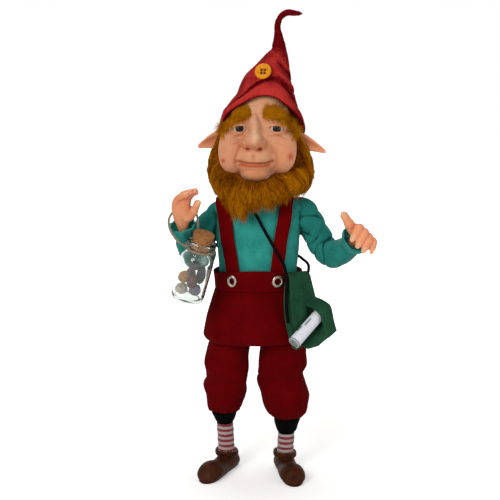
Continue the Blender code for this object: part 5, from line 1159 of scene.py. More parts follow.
face_tint_with_painted_light = blend(
    face_tint_with_painted_light,
    (0.55 * bump(np.hypot(np.abs(x) - 18, rise + 10), 8.5), "#f3a478"),
    (0.5 * bump(np.hypot(np.abs(x) - 13, (rise + 20) / 1.2), 6), "#eda577"),
    (0.6 * bump(np.hypot(x + 3, (rise + 5.0) / 1.1), 4.6), "#f2925f"),
    # painted highlights high on the nose and on its bridge
    (0.6 * bump(np.hypot(x + 2.6, (rise - 0.5) / 1.2), 3.2), "#ffdcc0"),
    (0.5 * bump(np.hypot(x + 2.6, (rise - 8.0) / 2.0), 3.6), "#fbd0a8"),
    (0.5 * bump(np.hypot(np.abs(x + 3) - 7, rise + 6.5), 2.4), "#e98d62"),
    (0.6 * bump(np.hypot(x + 2, (rise + 26) / 0.8), 6.5), "#e0904e"),
    (0.45 * bump(np.hypot(np.abs(x) - 12, (rise - 3.5) / 0.6), 6.5), "#e8a074"),
    # the nostrils' dark red is the skin's red with painted shade in the holes; then painted shade in the
    # philtrum's groove
    (0.85 * bump(np.hypot((np.abs(x + 3) - 4.2) / 1.5, rise + 8.6), 0.9), "#a8321a"),
    (0.5 * bump(np.hypot(x + 3.2, (rise + 13.4) / 1.8), 1.3), "#cf6d49"),
    (0.95 * bump(rise - mouth + 1.7, 1.3) * bump(np.maximum(np.abs(x + 2.2) - 8.6, 0), 1.2), "#cf4519"),
    (0.55 * bump(rise - mouth - 0.8, 0.6) * bump(np.maximum(np.abs(x + 2.2) - 8.5, 0), 2.0), "#d4683c"),
    # painted shade in the mouth's line, in its corners and in all the creases
    (0.8 * bump(rise - mouth, 0.4) * bump(np.maximum(np.abs(x + 2.2) - 9.5, 0), 1.6), "#5e1c0e"),
    (0.7 * bump(np.hypot(np.abs(x + 2.2) - 11.6, rise + 16.9), 1.0), "#7a2c17"),
    (0.3 * np.clip(creases(x, rise) - 0.4, 0, 1), "#c8744a"),
    (0.75 * bump(inside_lids + 0.12, 0.2), "#a4593c"),
    (0.9 * bump(np.hypot(x - 20.6, (rise + 13.6) / 1.4), 1.6)
     + 0.9 * bump(np.hypot(x + 22.6, rise + 16.4), 1.4), "#b83c22"),
    (0.4 * np.minimum(dots, 1), "#a8602f"),
    # painted highlight at the top of the nose
    (0.5 * bump(np.hypot(x + 1.6, (rise - 1.0) / 2), 2.0), "#f7cfa8"),
)
dress(surface("cast_head", shape, values={"tint": face_tint_with_painted_light}), cast_skin, "skin", "head")
neck = tube(route([(0, 0, 190), (0, 0, 218)], 12), np.full(12, 7.4), 48)
# painted shade: the neck's flat tint is darker, standing for shade under the head and beard
tint = np.tile(np.array(linear("#c9895f")), (12 * 48, 1))
dress(surface("cast_neck", neck, values={"tint": tint}), cast_skin, "skin")


# Ears
# Long leaf-shaped ears that point outwards and down, hollowed in front.

for side, tip in (("left", (-39.5, -1.0, 228.0)), ("right", (44.3, -1.0, 224.5))):
    tip = np.array(tip)
    root = np.array((math.copysign(21.0, tip[0]), 0.5, 233.0))
    path = route([root, root * 0.5 + tip * 0.5 + (0, 0, 1.2), tip], 90)
    share = np.linspace(0.0, 1.0, 90)[:, None]
    tall = 6.8 * (1 - share) ** 0.8 + 0.9
    thick = 2.5 * (1 - share) + 0.8
    a = circle(96)[None, :]
    facing = np.clip(-np.sin(a), 0, 1)
    hollow = 2.0 * np.sin(np.clip(share * 1.08, 0, 1) * math.pi) ** 0.7 * bump(np.cos(a), 0.62) * facing
    rim = 0.35 * bump(np.abs(np.cos(a)) - 0.86, 0.12) * facing
    shape = path[:, None] + np.stack([
        np.zeros((90, 96)), thick * np.sin(a) + hollow * np.minimum(1, thick / 2.2) - rim, tall * np.cos(a),
    ], axis=-1)
    tips = bump(share - 1, 0.25) * np.ones_like(a)
    deep = np.clip(hollow / 2.0, 0, 1)
    # painted shade darkens the ear's hollow, most towards its upper part; the pinker tips are the skin's own
    tint = blend(
        np.broadcast_to(np.array(linear("#e2a077")), (90, 96, 4)), (0.7 * deep**0.7, "#c26f47"),
        (0.6 * tips, "#ee9a78"), (0.5 * deep * bump(np.cos(a) - 0.5, 0.3), "#8a4226"),
    )
    dress(surface(f"leaf_ear_{side}", shape, values={"tint": tint}), cast_skin, "skin")


# Eyes
# Glass eyes with small dark blue-grey irises under a clear, wet coat.

def glass_eye(name):
    """Rings by the distance from the gaze axis: pupil, streaked iris, dark rim, veined white."""
    mat, shader = principled(name, roughness=0.1, specular_ior_level=0.15)
    radial = add(mat, "Attribute", out=2, attribute_name="from_gaze")
    streaks = noise(mat, 0.35, 3)
    veins = noise(mat, 1.4, 4, distortion=1.5)
    white = add(
        mat, "Mix", out=2, data_type="RGBA",
        in0=add(mat, "MapRange", value=veins, from_min=0.5, from_max=0.8), in6=linear("#c9c0b8"),
        in7=linear("#b08f86"),
    )
    iris = add(
        mat, "Mix", out=2, data_type="RGBA", in0=streaks, in6=linear("#04060a"), in7=linear("#111922"),
    )
    edged = add(
        mat, "Mix", out=2, data_type="RGBA",
        in0=add(mat, "MapRange", value=radial, from_min=1.9, from_max=2.6), in6=iris, in7=linear("#030406"),
    )
    pupil = add(
        mat, "Mix", out=2, data_type="RGBA",
        in0=add(mat, "MapRange", value=radial, from_min=1.25, from_max=1.45), in6=(0.001, 0.001, 0.001, 1),
        in7=edged,
    )
    colour = add(
        mat, "Mix", out=2, data_type="RGBA",
        in0=add(mat, "MapRange", value=radial, from_min=2.6, from_max=2.95), in6=pupil, in7=white,
    )
    return finish_with(mat, shader, colour)


eye_glass = glass_eye("painted_glass_eye")
for side, (x, across, up) in EYES.items():
    gaze = np.array((across, -EYE_RADIUS, up))
    gaze /= np.linalg.norm(gaze)
    a = circle(72)[None, :]
    b = np.linspace(0.02, math.pi - 0.02, 56)[:, None]
    ball = points_at(np.sin(b) * np.cos(a), -np.cos(b), np.sin(b) * np.sin(a))
    off = np.arccos(np.clip(ball @ gaze, -1, 1)) * EYE_RADIUS
    bulge = 1 + 0.03 * bump(off, 2.4)
    shape = ball * (EYE_RADIUS * bulge)[..., None] + (x, EYE_Y, HEAD_Z + EYE_RISE)
    globe = surface(f"glass_eye_{side}", shape, values={"from_gaze": off})
    dress(globe, eye_glass, "glass_eye", f"eye_{side}")


# Eyebrows
# Bushy ginger tufts that follow the brow and sweep down at their outer ends.

def mohair(name):
    """Dyed goat hair: the tone attribute runs from deep brown through ginger to gold; the deep brown of
    the under-layer is painted shade.
    """
    mat, shader = principled(name, roughness=0.7, specular_ior_level=0.02)
    tone = add(mat, "Attribute", out=2, attribute_name="tone")
    cloud = noise(mat, 6.0, 2)
    mixed_tone = add(mat, "Math", operation="MULTIPLY_ADD", in0=cloud, in1=0.5, in2=tone)
    low = add(
        mat, "Mix", out=2, data_type="RGBA",
        in0=add(mat, "MapRange", value=mixed_tone, from_min=0.2, from_max=0.65), in6=linear("#522400"),
        in7=linear("#945000"),
    )
    colour = add(
        mat, "Mix", out=2, data_type="RGBA",
        in0=add(mat, "MapRange", value=mixed_tone, from_min=0.65, from_max=1.25), in6=low,
        in7=linear("#cb850c"),
    )
    return finish_with(mat, shader, colour)


def strands(name, lines, radius, tone):
    """Thin three-sided hairs along (hair, step) lines; each narrows to its tip as (1 - step^2)."""
    count, steps = lines.shape[:2]
    tangent = directions(lines, axis=1)
    side = np.cross(tangent, np.array((0.31, 0.83, 0.46)))
    side /= np.linalg.norm(side, axis=2)[..., None]
    over = np.cross(tangent, side)
    a = np.arange(3) * 2 * math.pi / 3
    narrow = radius[:, None] * (1 - 0.9 * np.linspace(0, 1, steps) ** 2)[None, :]
    rings = lines[:, :, None] + narrow[..., None, None] * (
        np.cos(a)[None, None, :, None] * side[:, :, None] + np.sin(a)[None, None, :, None] * over[:, :, None]
    )
    corner = np.arange(count)[:, None, None] * steps * 3
    i, j = np.arange(steps - 1)[None, :, None] * 3, np.arange(3)[None, None, :]
    k = (j + 1) % 3
    quads = np.stack([corner + i + j, corner + i + k, corner + i + 3 + k, corner + i + 3 + j], -1)
    first = corner[:, 0, 0]
    last = first + (steps - 1) * 3
    faces = quads.reshape(-1, 4).tolist()
    faces += np.stack([first + 2, first + 1, first], -1).tolist()
    faces += np.stack([last, last + 1, last + 2], -1).tolist()
    tones = (tone[:, None, None] + 0.25 * np.linspace(0, 1, steps)[None, :, None]) * np.ones((1, 1, 3))
    mesh = mesh_from(name, rings.reshape(-1, 3), faces, {"tone": tones.ravel()})
    mesh.shade_smooth()
    return shown(name, mesh)


ginger = mohair("ginger_mohair")
REACH_LOW = 203.0
reach_z = np.linspace(REACH_LOW, 266.0, 64)
reach_azimuth = np.radians(np.arange(-180.0, 181.0, 3.0))
sweep = np.radians(np.arange(-180.0, 180.0, 1.5))
reach_table = []
for z in reach_z:
    spots = head_point(sweep, np.full(len(sweep), max(z, 206.0)), 0.0, 0.0)
    towards = np.arctan2(spots[:, 0], HEAD_Y - spots[:, 1])
    away = np.hypot(spots[:, 0], spots[:, 1] - HEAD_Y)
    order = np.argsort(towards)
    reach_table.append(np.interp(reach_azimuth, towards[order], away[order], period=2 * math.pi))
reach_table = np.array(reach_table)


def head_reach(azimuth, z):
    """Distance from the head's axis to its skin, read between the rows and columns of a table."""
    azimuth = (np.asarray(azimuth) + math.pi) % (2 * math.pi) - math.pi
    u = (azimuth + math.pi) / math.radians(3.0)
    v = np.clip(z - REACH_LOW, 0, 62.999)
    i, j = v.astype(int), np.clip(u.astype(int), 0, reach_table.shape[1] - 2)
    s, t = v - i, u - j
    near = reach_table[i, j] * (1 - t) + reach_table[i, j + 1] * t
    return near * (1 - s) + (reach_table[i + 1, j] * (1 - t) + reach_table[i + 1, j + 1] * t) * s


def skin_y(x, z):
    """Where the face's skin is at (x, z)."""
    centre, half, front, _ = head_widths(z)
    sine = np.clip((x - centre) / half, -0.98, 0.98)
    return face_depth(x, z, HEAD_Y - front * np.sqrt(1 - sine**2), 0.0, 0.0)


BROWS = {
    "left": [(-24.0, 1.6, 3.2), (-19.6, 7.0, 3.4), (-15.6, 10.4, 3.4), (-11.0, 13.0, 3.6), (-6.6, 14.0, 3.4),
             (-4.0, 13.6, 2.8)],
    "right": [(2.4, 12.6, 3.2), (6.0, 13.8, 3.8), (11.0, 13.2, 3.9), (16.0, 10.6, 3.8), (20.6, 6.0, 3.6),
              (24.8, 0.4, 3.2)],
}
for side, knots in BROWS.items():
    random = np.random.default_rng(11 if side == "left" else 12)
    count, steps = 1500, 7
    sign = -1 if side == "left" else 1
    root_x = random.uniform(knots[0][0], knots[-1][0], count)
    ridge = [(k[0], k[1]) for k in knots]
    along = spline(root_x, ridge)
    tall = spline(root_x, [(k[0], k[2]) for k in knots])
    slope = spline(root_x + 0.5, ridge) - spline(root_x - 0.5, ridge)
    root_z = HEAD_Z + along + tall * random.uniform(-0.8, 0.85, count)
    length = random.uniform(3.6, 7.0, count)
    fan = random.normal(0.15, 0.42, count) + 0.35 * (root_z - HEAD_Z - along) / tall
    heading = np.arctan2(slope * sign, 1.0) * 0.9 + fan
    u = np.linspace(0, 1, steps)[None, :]
    curl = random.normal(0, 0.5, count)[:, None] * u**1.5
    way = heading[:, None] + curl - 0.25 * u
    stepx = np.cumsum(np.cos(way), axis=1) / steps * length[:, None]
    stepz = np.cumsum(np.sin(way), axis=1) / steps * length[:, None]
    x = root_x[:, None] + sign * (stepx - stepx[:, :1])
    z = root_z[:, None] + stepz - stepz[:, :1]
    lift = random.uniform(0.4, 2.3, count)[:, None] * np.sin(np.clip(u * 2.2, 0, 2.0)) ** 0.8
    y = skin_y(x, z) - lift + 0.3
    tone = random.normal(0.72, 0.2, count)
    tuft = strands(f"brow_tuft_{side}", np.stack([x, y, z], -1), random.uniform(0.13, 0.2, count), tone)
    dress(tuft, ginger, "hair", f"eyebrow_{side}")


# Beard and hair
# Long wavy mohair glued round the jaw and under the hat, in locks whose ends are uneven.

BEARD_TOP = [
    (-97, 8), (-88, 5), (-80, 3), (-75, -8), (-70, -16), (-60, -21), (-42, -24.5), (-24, -28), (0, -29.6),
    (22, -28), (42, -24.5), (60, -21), (70, -16), (75, -8), (80, 3), (88, 5), (97, 8),
]
BEARD_FOOT = [
    (-97, -38), (-80, -38), (-60, -41), (-44, -45), (-23, -53), (-8, -46), (6, -45.5), (18, -45.5),
    (28, -41), (50, -39.5), (72, -39), (97, -37),
]


def brim_level(angle):
    """Height of the hat's edge, which dips towards the back."""
    return 241.0 + 22.3 * np.cos(angle)


def hair_bounds(degrees):
    """(top, foot, inner foot reach, outer foot reach, spread) of the hair, all round the head."""
    beard = np.abs(degrees) <= 97
    near = np.clip(degrees, -97, 97)
    side = np.minimum(1.0, np.abs(degrees) / 70.0)
    behind = bump((degrees % 360) - 180.0, 60.0)
    brim = brim_level(np.radians(degrees))
    top = np.where(beard, HEAD_Z + spline(near, BEARD_TOP), np.minimum(246.0, brim - 1.2))
    foot = np.where(beard, HEAD_Z + spline(near, BEARD_FOOT), 200.5)
    foot_in = np.where(beard, 25.0 + 1.5 * side, 26.0 - 4.0 * behind)
    foot_out = np.where(beard, 29.0 + 3.0 * side, 31.0 - 3.0 * behind)
    spread = np.where(beard, 5.4 + 0.8 * side, 4.6 - 2.2 * behind)
    slim = bump(degrees + 78.0, 34.0)
    foot_out, spread = foot_out - 3.2 * slim, spread - 2.2 * slim
    return np.minimum(top, brim - 1.0), foot, foot_in, foot_out, spread


def hair_layer(degrees, z, share):
    """Reach of a layer of hair: inner + share (outer - inner) at an angle and a height."""
    top, foot, foot_in, foot_out, spread = hair_bounds(degrees)
    azimuth = np.radians(degrees)
    jaw = np.minimum(212.0, top)
    below = np.clip((jaw - z) / np.maximum(jaw - foot, 1), 0.0, 1.0)
    inner = head_reach(azimuth, np.maximum(np.minimum(z, top), jaw)) * (1 - below) + foot_in * below
    rise = np.clip((z - foot) / (top - foot), 0, 1)
    top_reach = head_reach(azimuth, top) + 1.2
    outer = foot_out * (1 - rise) + top_reach * rise + spread * np.sin(rise * math.pi) ** 0.8
    return inner + share * (np.maximum(outer, inner + 1.2) - inner)


def around(degrees, reach, z):
    """The points at these angles from the front, distances from the head's axis and heights."""
    azimuth = np.radians(degrees)
    return points_at(reach * np.sin(azimuth), HEAD_Y - reach * np.cos(azimuth), z)


def hair_mass(name, low, high, columns):
    """The matted under-layer: closed sections up the inside and down the outside of the hair."""
    degrees = np.linspace(low, high, columns)[:, None]
    top, foot, *_ = hair_bounds(degrees)
    up = np.linspace(0, 1, 24)[None, :]
    comb = 1.6 * np.sin(np.radians(degrees) * 31 + 2 * np.sin(np.radians(degrees) * 7))
    foot = foot + 3.5 + 1.2 * comb
    inner_z = top - 0.6 + (foot - top) * up
    outer_z = foot + (top - 0.8 - foot) * up
    inner = around(degrees, hair_layer(degrees, inner_z, 0.1), inner_z)
    share = 0.66 - 0.2 * bump(np.abs(degrees) - 85, 22) + 0.05 * comb
    outer = around(degrees, hair_layer(degrees, outer_z, share), outer_z)
    # Painted shade: the under-layer's low tone is shade deep under the locks, halved on its inside towards
    # the head.
    tone = 0.16 + 0.1 * np.sin(degrees * 1.7 + outer_z * 0.3)
    tone = np.concatenate([tone * np.ones_like(up) * 0.5, tone], axis=1)
    return surface(name, np.concatenate([inner, outer], axis=1), values={"tone": tone})


def hair_locks(name, low, high, count, locks, seed, radius=(0.15, 0.23)):
    """Wavy hairs gathered in locks: angle(u) = root + pull u^1.5, with sine waves across the lock."""
    random = np.random.default_rng(seed)
    steps = 10
    lock_at = np.sort(random.uniform(low, high, locks))
    root = random.uniform(low, high, count)
    lock = lock_at[np.argmin(np.abs(root[:, None] - lock_at[None, :]), axis=1)]
    wander = np.sin(lock * 12.9898) * 43758.5453
    wander = wander - np.floor(wander)
    top, foot, *_ = hair_bounds(root)
    share = random.uniform(0, 1, count)
    start = top - (top - foot) * share * 0.62 - random.uniform(0, 0.8, count)
    longer = np.where(np.abs(lock + 26) < 12, 2.5, 0.0)
    end = foot - longer + 6.5 * (wander - 0.5) + random.normal(0, 1.6, count)
    end = np.minimum(end + 4.0 * random.uniform(0, 1, count) ** 3, start - 4.0)
    u = np.linspace(0, 1, steps)[None, :]
    z = start[:, None] + (end - start)[:, None] * u
    pull = (lock - root)[:, None] * 0.75 * u**1.5
    waves = random.uniform(0.9, 1.6, count)[:, None]
    phase = (wander * 6.0 + random.normal(0, 0.7, count))[:, None]
    swing = 1.9 * np.sin(z * 2 * math.pi / (9.0 * waves) + phase) * np.minimum(1, u * 4)
    degrees = root[:, None] + pull + swing * random.uniform(0.4, 1.3, count)[:, None]
    layer = random.uniform(0.45, 1.12, count)[:, None] * np.minimum(1, 0.25 + u * 6) ** 0.7
    reach = hair_layer(degrees, z, layer)
    reach = reach + 0.5 * np.cos(z * 2 * math.pi / (7.0 * waves) + phase) * np.minimum(1, u * 3)
    beyond = np.clip(u - 0.75, 0, 1)
    reach = reach + random.normal(0, 5.0, count)[:, None] * beyond**1.5
    tone = random.normal(0.46, 0.2, count) + 0.55 * (wander - 0.5)
    return strands(name, around(degrees, reach, z), random.uniform(*radius, count), tone)


dress(hair_mass("beard_under_layer", -97.0, 97.0, 200), ginger, "hair", "beard")
dress(hair_locks("beard_locks", -97.0, 97.0, 3300, 60, 21), ginger, "hair")
dress(hair_locks("beard_locks_front", -62.0, 62.0, 3000, 44, 22, (0.12, 0.18)), ginger, "hair")
dress(hair_mass("back_hair_under_layer", 97.0, 263.0, 170), ginger, "hair", "hair")
dress(hair_locks("back_hair_locks", 94.0, 266.0, 3300, 60, 23), ginger, "hair")


# Hat
# A pointed hat of red felt, pressed in one piece, with a rolled brim and a tip that flops to one side.

HAT_SIZES = [  # (height over the head's centre, centre x, half width, depth to the front, depth to the back)
    (-24, 2.6, 28.6, 33.0, 29.5), (-10, 2.8, 28.9, 31.0, 30.5), (0, 2.4, 28.0, 28.0, 30.0),
    (7, 2.4, 25.9, 25.8, 29.2), (13, 2.2, 24.5, 23.2, 27.6), (20, 3.0, 20.8, 20.0, 24.0),
    (25, 4.6, 18.4, 17.4, 20.5), (31, 5.4, 16.6, 14.2, 16.5), (37, 7.0, 14.3, 11.6, 12.8),
    (43, 9.2, 11.0, 9.0, 9.4), (49, 11.6, 7.6, 6.6, 6.6), (54, 13.4, 4.6, 4.4, 4.4),
]


def hat_point(angle, z, inset=0.0):
    """A point on the cone at an angle from the front and a height."""
    rise = z - HEAD_Z
    centre, half, front, back = (
        spline(rise, [(row[0], row[k]) for row in HAT_SIZES]) for k in (1, 2, 3, 4)
    )
    depth = np.where(np.cos(angle) > 0, front, back)
    x = centre + (half - inset) * np.sin(angle)
    y = HEAD_Y * np.clip(1.6 - rise / 35.0, 0, 1) - (depth - inset) * np.cos(angle)
    return points_at(x, y, z)


def hat_fold(angle, z, brim):
    """Extra radius: the rolled brim, the crease above it, and the twisted folds near the top."""
    over, rise = z - brim, z - HEAD_Z
    wide = 1 + 0.3 * np.sin(angle)
    roll = (2.7 - 1.3 * np.sin(angle) ** 2) * bump(over - 3.8, 3.8 * wide)
    roll = roll - 2.1 * bump(over - 9.4 * wide, 1.6) + 0.7 * bump(over - 13.2 * wide, 2.6)
    twist = 0.7 * np.cos(angle + 1.2 - rise * 0.16) ** 3 * bump(rise - 40.0, 12.0)
    right = bump(angle - 0.85, 0.75)
    first, second = rise - 41 + 11 * angle, rise - 48 + 9 * angle
    sag = (1.3 * bump(first - 2.4, 1.8) - 1.6 * bump(first, 1.1)) * right
    sag = sag + (1.1 * bump(second - 2.3, 1.6) - 1.4 * bump(second, 1.0)) * right
    small = 0.9 * bump(rise - 51.5, 1.8) * bump(angle + 0.7, 1.1)
    small = small - 0.5 * valley(0.5 * angle - 0.35, 12) * bump(rise - 50, 5)
    wave = 0.35 * np.sin(5 * angle + 0.8) * bump(over, 5)
    wave = wave + 0.2 * np.sin(9 * angle + rise * 0.3) * bump(rise - 28, 14)
    return roll + twist + sag + small + wave


columns = 240
angle = circle(columns, -math.pi)
brim = brim_level(angle)
# Painted light for the hat's felt: -0.5 is painted shade inside the hat, under the brim's turn and along the
# tail.
rings, painted_light = [], [np.full(columns, -0.5)] * 52
for share in np.linspace(0.985, 0.0, 46):
    z = brim + (281.0 - brim) * share
    close = math.sqrt(max(0.0, 1 - max(0.0, (share - 0.75) / 0.25) ** 2))
    ring = hat_point(angle, z, inset=1.5)
    centre = ring.mean(axis=0)
    ring[:, :2] = centre[:2] + (ring[:, :2] - centre[:2]) * close
    rings.append(ring)
for turn in np.linspace(0.3, math.pi - 0.3, 6):
    ring = hat_point(angle, brim, inset=0.5 + math.cos(turn) - 0.4 * math.sin(turn))
    ring[:, 2] -= 0.8 * math.sin(turn)
    rings.append(ring)
for share in np.linspace(0.0, 1.0, 170) ** 1.15:
    z = brim + (292.0 - brim) * share
    raised = hat_fold(angle, z, brim)
    rings.append(hat_point(angle, z, inset=-raised))
    # Painted shade in the creases, on the sides turned away from the key light and towards the top; painted
    # highlight on the lit front of the rolled brim.
    lit = np.clip(np.cos(angle + 0.2), 0, 1)
    tone = np.clip(0.3 * raised, -0.7, 0.2 + 0.3 * lit * bump(z - brim, 9)) - 0.3 * (1 - lit) ** 2
    painted_light.append(tone - 0.3 * np.clip((z - 284.0) / 8, 0, 1))
painted_light = np.array(painted_light + [np.full(columns, -0.5)] * 118)
tail = route([
    (13.4, 0, 292), (13.0, 0.5, 299.5), (12.5, 0.5, 306.5), (14.4, 0, 311.6), (18.6, -0.5, 314.4),
    (23.4, -0.5, 314.1), (28.4, -0.5, 313.7),
], 120)[2:]
share = np.linspace(0, 1, 120)[2:]
narrow = spline(share, [(0, 4.2), (0.15, 3.2), (0.4, 2.3), (0.62, 1.9), (0.8, 1.8), (0.93, 1.5), (1, 0.5)])
twist = lambda s, a: 0.12 * np.cos(2 * a + 9 * s) - 0.14 * valley(a + 11 * s, 5) - 0.1 * bump(s - 0.52, 0.02)
tip = tube(tail, narrow, columns, twist)
ends = [tip[:, ::-1], tip]
last, start = rings[-1], tip[0].mean(axis=0) - rings[-1].mean(axis=0)
options = [np.roll(e, k, axis=1) for e in ends for k in range(0, columns, 4)]
best = min(options, key=lambda option: ((option[0] - start - last) ** 2).sum())
shape = np.concatenate([np.array(rings), best])
hat_felt = felt("red_pressed_felt", "#60030a", "#bd332f", fibre=0.8, cloud=6.0, sheen=0.05, depth=0.35)
dress(surface("felt_hat", shape, values={"painted_light": painted_light}), hat_felt, "hat_felt", "hat")


# Hat button
# A mustard four-hole button with a raised rim, sewn flat on the front of the cone.

def plastic(name, dark, lit):
    """Moulded plastic: nearly even colour, a soft gloss, faint scuffs, and painted shade in the holes."""
    mat, shader = principled(name, roughness=0.4, specular_ior_level=0.15)
    scuffs = noise(mat, 1.6, 4)
    hole = add(mat, "Attribute", out=2, attribute_name="hole")
    colour = add(
        mat, "Mix", out=2, data_type="RGBA",
        in0=add(mat, "MapRange", value=scuffs, from_min=0.3, from_max=0.7), in6=linear(dark),
        in7=linear(lit),
    )
    # painted shade in the button's holes
    colour = add(mat, "Mix", out=2, data_type="RGBA", in0=hole, in6=colour, in7=linear("#3d1c02"))
    return finish_with(mat, shader, colour, scuffs, 0.02)


spot_angle, spot_z = np.array([-0.3]), np.array([276.8])


def hat_surface(angle, z):
    """The point of the folded felt at an angle and a height."""
    return hat_point(angle, z, -hat_fold(angle, z, brim_level(angle)))[0]


across = hat_surface(spot_angle + 0.3, spot_z) - hat_surface(spot_angle - 0.3, spot_z)
upwards = hat_surface(spot_angle, spot_z + 4) - hat_surface(spot_angle, spot_z - 4)
outwards = np.cross(across, upwards)
outwards /= np.linalg.norm(outwards)
outline = rounded_profile([
    (0.05, 1.45), (2.6, 1.5), (3.4, 1.75), (4.0, 2.35), (4.6, 2.4), (5.2, 1.9), (5.4, 1.2), (5.1, 0.5),
    (4.0, 0.0), (0.1, 0.0),
], 110)
disc = turned(outline, 120)
hole = sum(
    bump(np.hypot(disc[..., 0] - 1.5 * math.cos(t), disc[..., 1] - 1.5 * math.sin(t)), 1.05) ** 2
    for t in np.radians((45, 135, 225, 315))
) * (disc[..., 2] > 1.0)
disc[..., 2] -= 1.1 * np.minimum(hole * 1.4, 1)
seat_spot = hat_surface(spot_angle, spot_z) + outwards * 0.9
grid = set_on(disc, seat_spot, outwards)
button = surface("four_hole_button", grid, values={"hole": np.minimum(hole * 1.5, 1)})
dress(button, plastic("mustard_button_plastic", "#d38305", "#e2950c"), "button_yellow", "hat_button")


# Bottle, cork and pebbles
# A small flat-shouldered sample bottle of clear, slightly green glass, full of tumbled stones and closed by
# a tapered cork.

BOTTLE_BASE = np.array((-46.4, -31.0, 133.0))
BOTTLE_AXIS = np.array((0.262, -0.15, 0.953))


def eased(knots):
    """Cuts the corners of an open outline: each side keeps its middle 0.56, three times over."""
    line = np.array(knots, float)
    for _ in range(3):
        a, b = line[:-1], line[1:]
        cut = np.stack([0.78 * a + 0.22 * b, 0.22 * a + 0.78 * b], axis=1).reshape(-1, 2)
        line = np.concatenate([line[:1], cut[1:-1], line[-1:]])
    return line


def glass(name):
    """Clear soda glass with a green cast and faint streaks."""
    mat, shader = principled(name, roughness=0.015, transmission_weight=1.0, specular_ior_level=0.5)
    shader.inputs["IOR"].default_value = 1.45
    streaks = noise(mat, 7.0, 2)
    colour = add(
        mat, "Mix", out=2, data_type="RGBA", in0=streaks, in6=linear("#f4f8f5"), in7=linear("#e8f0eb"),
    )
    return finish_with(mat, shader, colour, streaks, 0.05)


outline = eased([
    (0.05, 0.6), (7.6, 0.5), (8.8, 0.0), (10.4, 0.6), (11, 2.2), (11, 28), (10.3, 30.6), (8.8, 33),
    (7.8, 34.6), (7.8, 37.2), (7.9, 37.7), (9.2, 37.9), (9.6, 39.2), (9.0, 40.3), (8.2, 40.5), (6.9, 40.4),
    (6.6, 39.6), (6.6, 34.6), (7.4, 32.2), (9.3, 29.6), (9.9, 27.4), (9.9, 3.6), (9.2, 2.6), (7.4, 2.3),
    (0.05, 2.0),
])
flask = surface("sample_bottle", set_on(turned(outline, 96), BOTTLE_BASE, BOTTLE_AXIS))
dress(flask, glass("clear_green_glass"), "bottle_glass", "bottle")


def cork_bark(name):
    """Ground natural cork: warm grains, dark pores and a few pale flecks."""
    mat, shader = principled(name, roughness=0.85, specular_ior_level=0.2)
    grain = noise(mat, 1.3, 4)
    pores = noise(mat, 0.8, 2, stretch=(1, 1, 0.6))
    colour = add(
        mat, "Mix", out=2, data_type="RGBA",
        in0=add(mat, "MapRange", value=grain, from_min=0.3, from_max=0.72), in6=linear("#7d4c24"),
        in7=linear("#b07a49"),
    )
    colour = add(
        mat, "Mix", out=2, data_type="RGBA",
        in0=add(mat, "MapRange", value=pores, from_min=0.4, from_max=0.3), in6=colour,
        in7=linear("#4a2a12"),
    )
    return finish_with(mat, shader, colour, pores, 0.25)


outline = eased([(0.05, 32.8), (5.5, 32.8), (5.9, 33.4), (6.1, 40.5), (6.4, 42.1), (6.9, 45.7), (6.6, 46.3),
                 (0.05, 46.35)])
grid = turned(outline, 120)
turn = np.arctan2(grid[..., 1], grid[..., 0])
uneven = 1 + 0.008 * np.sin(7 * turn + grid[..., 2] * 1.7) + 0.006 * np.sin(19 * turn - grid[..., 2] * 2.3)
grid[..., :2] *= uneven[..., None]
stopper = surface("cork_stopper", set_on(grid, BOTTLE_BASE, BOTTLE_AXIS))
dress(stopper, cork_bark("ground_cork"), "cork_bark", "cork")


def stone(name, dark, lit, vein):
    """Tumbled stone: two clouded colours and thin veins."""
    mat, shader = principled(name, roughness=0.3, specular_ior_level=0.12)
    cloud = noise(mat, 3.0, 4)
    line = noise(mat, 2.2, 2, distortion=2.0)
    colour = add(
        mat, "Mix", out=2, data_type="RGBA",
        in0=add(mat, "MapRange", value=cloud, from_min=0.35, from_max=0.65), in6=linear(dark),
        in7=linear(lit),
    )
    colour = add(
        mat, "Mix", out=2, data_type="RGBA",
        in0=add(mat, "MapRange", value=line, from_min=0.6, from_max=0.68), in6=colour, in7=linear(vein),
    )
    return finish_with(mat, shader, colour, cloud, 0.1)


PEBBLES = {  # place in the bottle, half sizes, slot, and the stone's colours
    "pebble_lilac": ((2.6, -2.8, 6.6), (5.0, 3.8, 3.9), "pebble_pale", "#463a4a", "#75647a", "#a596a2"),
    "pebble_quartz": ((-3.2, 3.8, 6.4), (4.8, 4.0, 3.7), "pebble_pale", "#7d6c60", "#b3a493", "#d8ccba"),
    "pebble_brown": ((-4.6, -3.2, 14.4), (3.9, 3.2, 5.0), "pebble_red", "#3a170d", "#643020", "#8a5540"),
    "pebble_grey": ((4.0, -3.4, 17.2), (3.5, 3.3, 6.4), "pebble_grey", "#0c0c0b", "#22211f", "#45433f"),
    "pebble_garnet": ((4.4, 4.2, 14.4), (3.8, 3.6, 5.2), "pebble_red", "#220407", "#521012", "#7c2a20"),
    "pebble_ochre": ((-3.8, 3.8, 14.8), (4.0, 3.6, 4.3), "pebble_pale", "#7a4512", "#b5752a", "#d9a551"),
    "pebble_black": ((-1.2, 0.2, 24.0), (4.6, 4.0, 3.2), "pebble_grey", "#080808", "#1c1b1b", "#3a3a3a"),
}
for number, (name, (spot, half, slot, dark, lit, vein)) in enumerate(PEBBLES.items()):
    a = circle(56)[None, :]
    b = np.linspace(0.03, math.pi - 0.03, 36)[:, None]
    unit = points_at(np.sin(b) * np.cos(a), np.sin(b) * np.sin(a), -np.cos(b))
    lumps = 0.04 * np.sin(3 * unit[..., 0] + 2 * number) + 0.04 * np.sin(4 * unit[..., 1] + unit[..., 2] * 3)
    grid = unit * np.array(half) * (0.96 + lumps)[..., None] + np.array(spot)
    piece = surface(f"tumbled_{name}", set_on(grid, BOTTLE_BASE, BOTTLE_AXIS))
    dress(piece, stone(f"tumbled_{name}_stone", dark, lit, vein), slot, name)


# Twine
# Three-ply jute, wrapped round the bottle's neck and looped over the left hand.

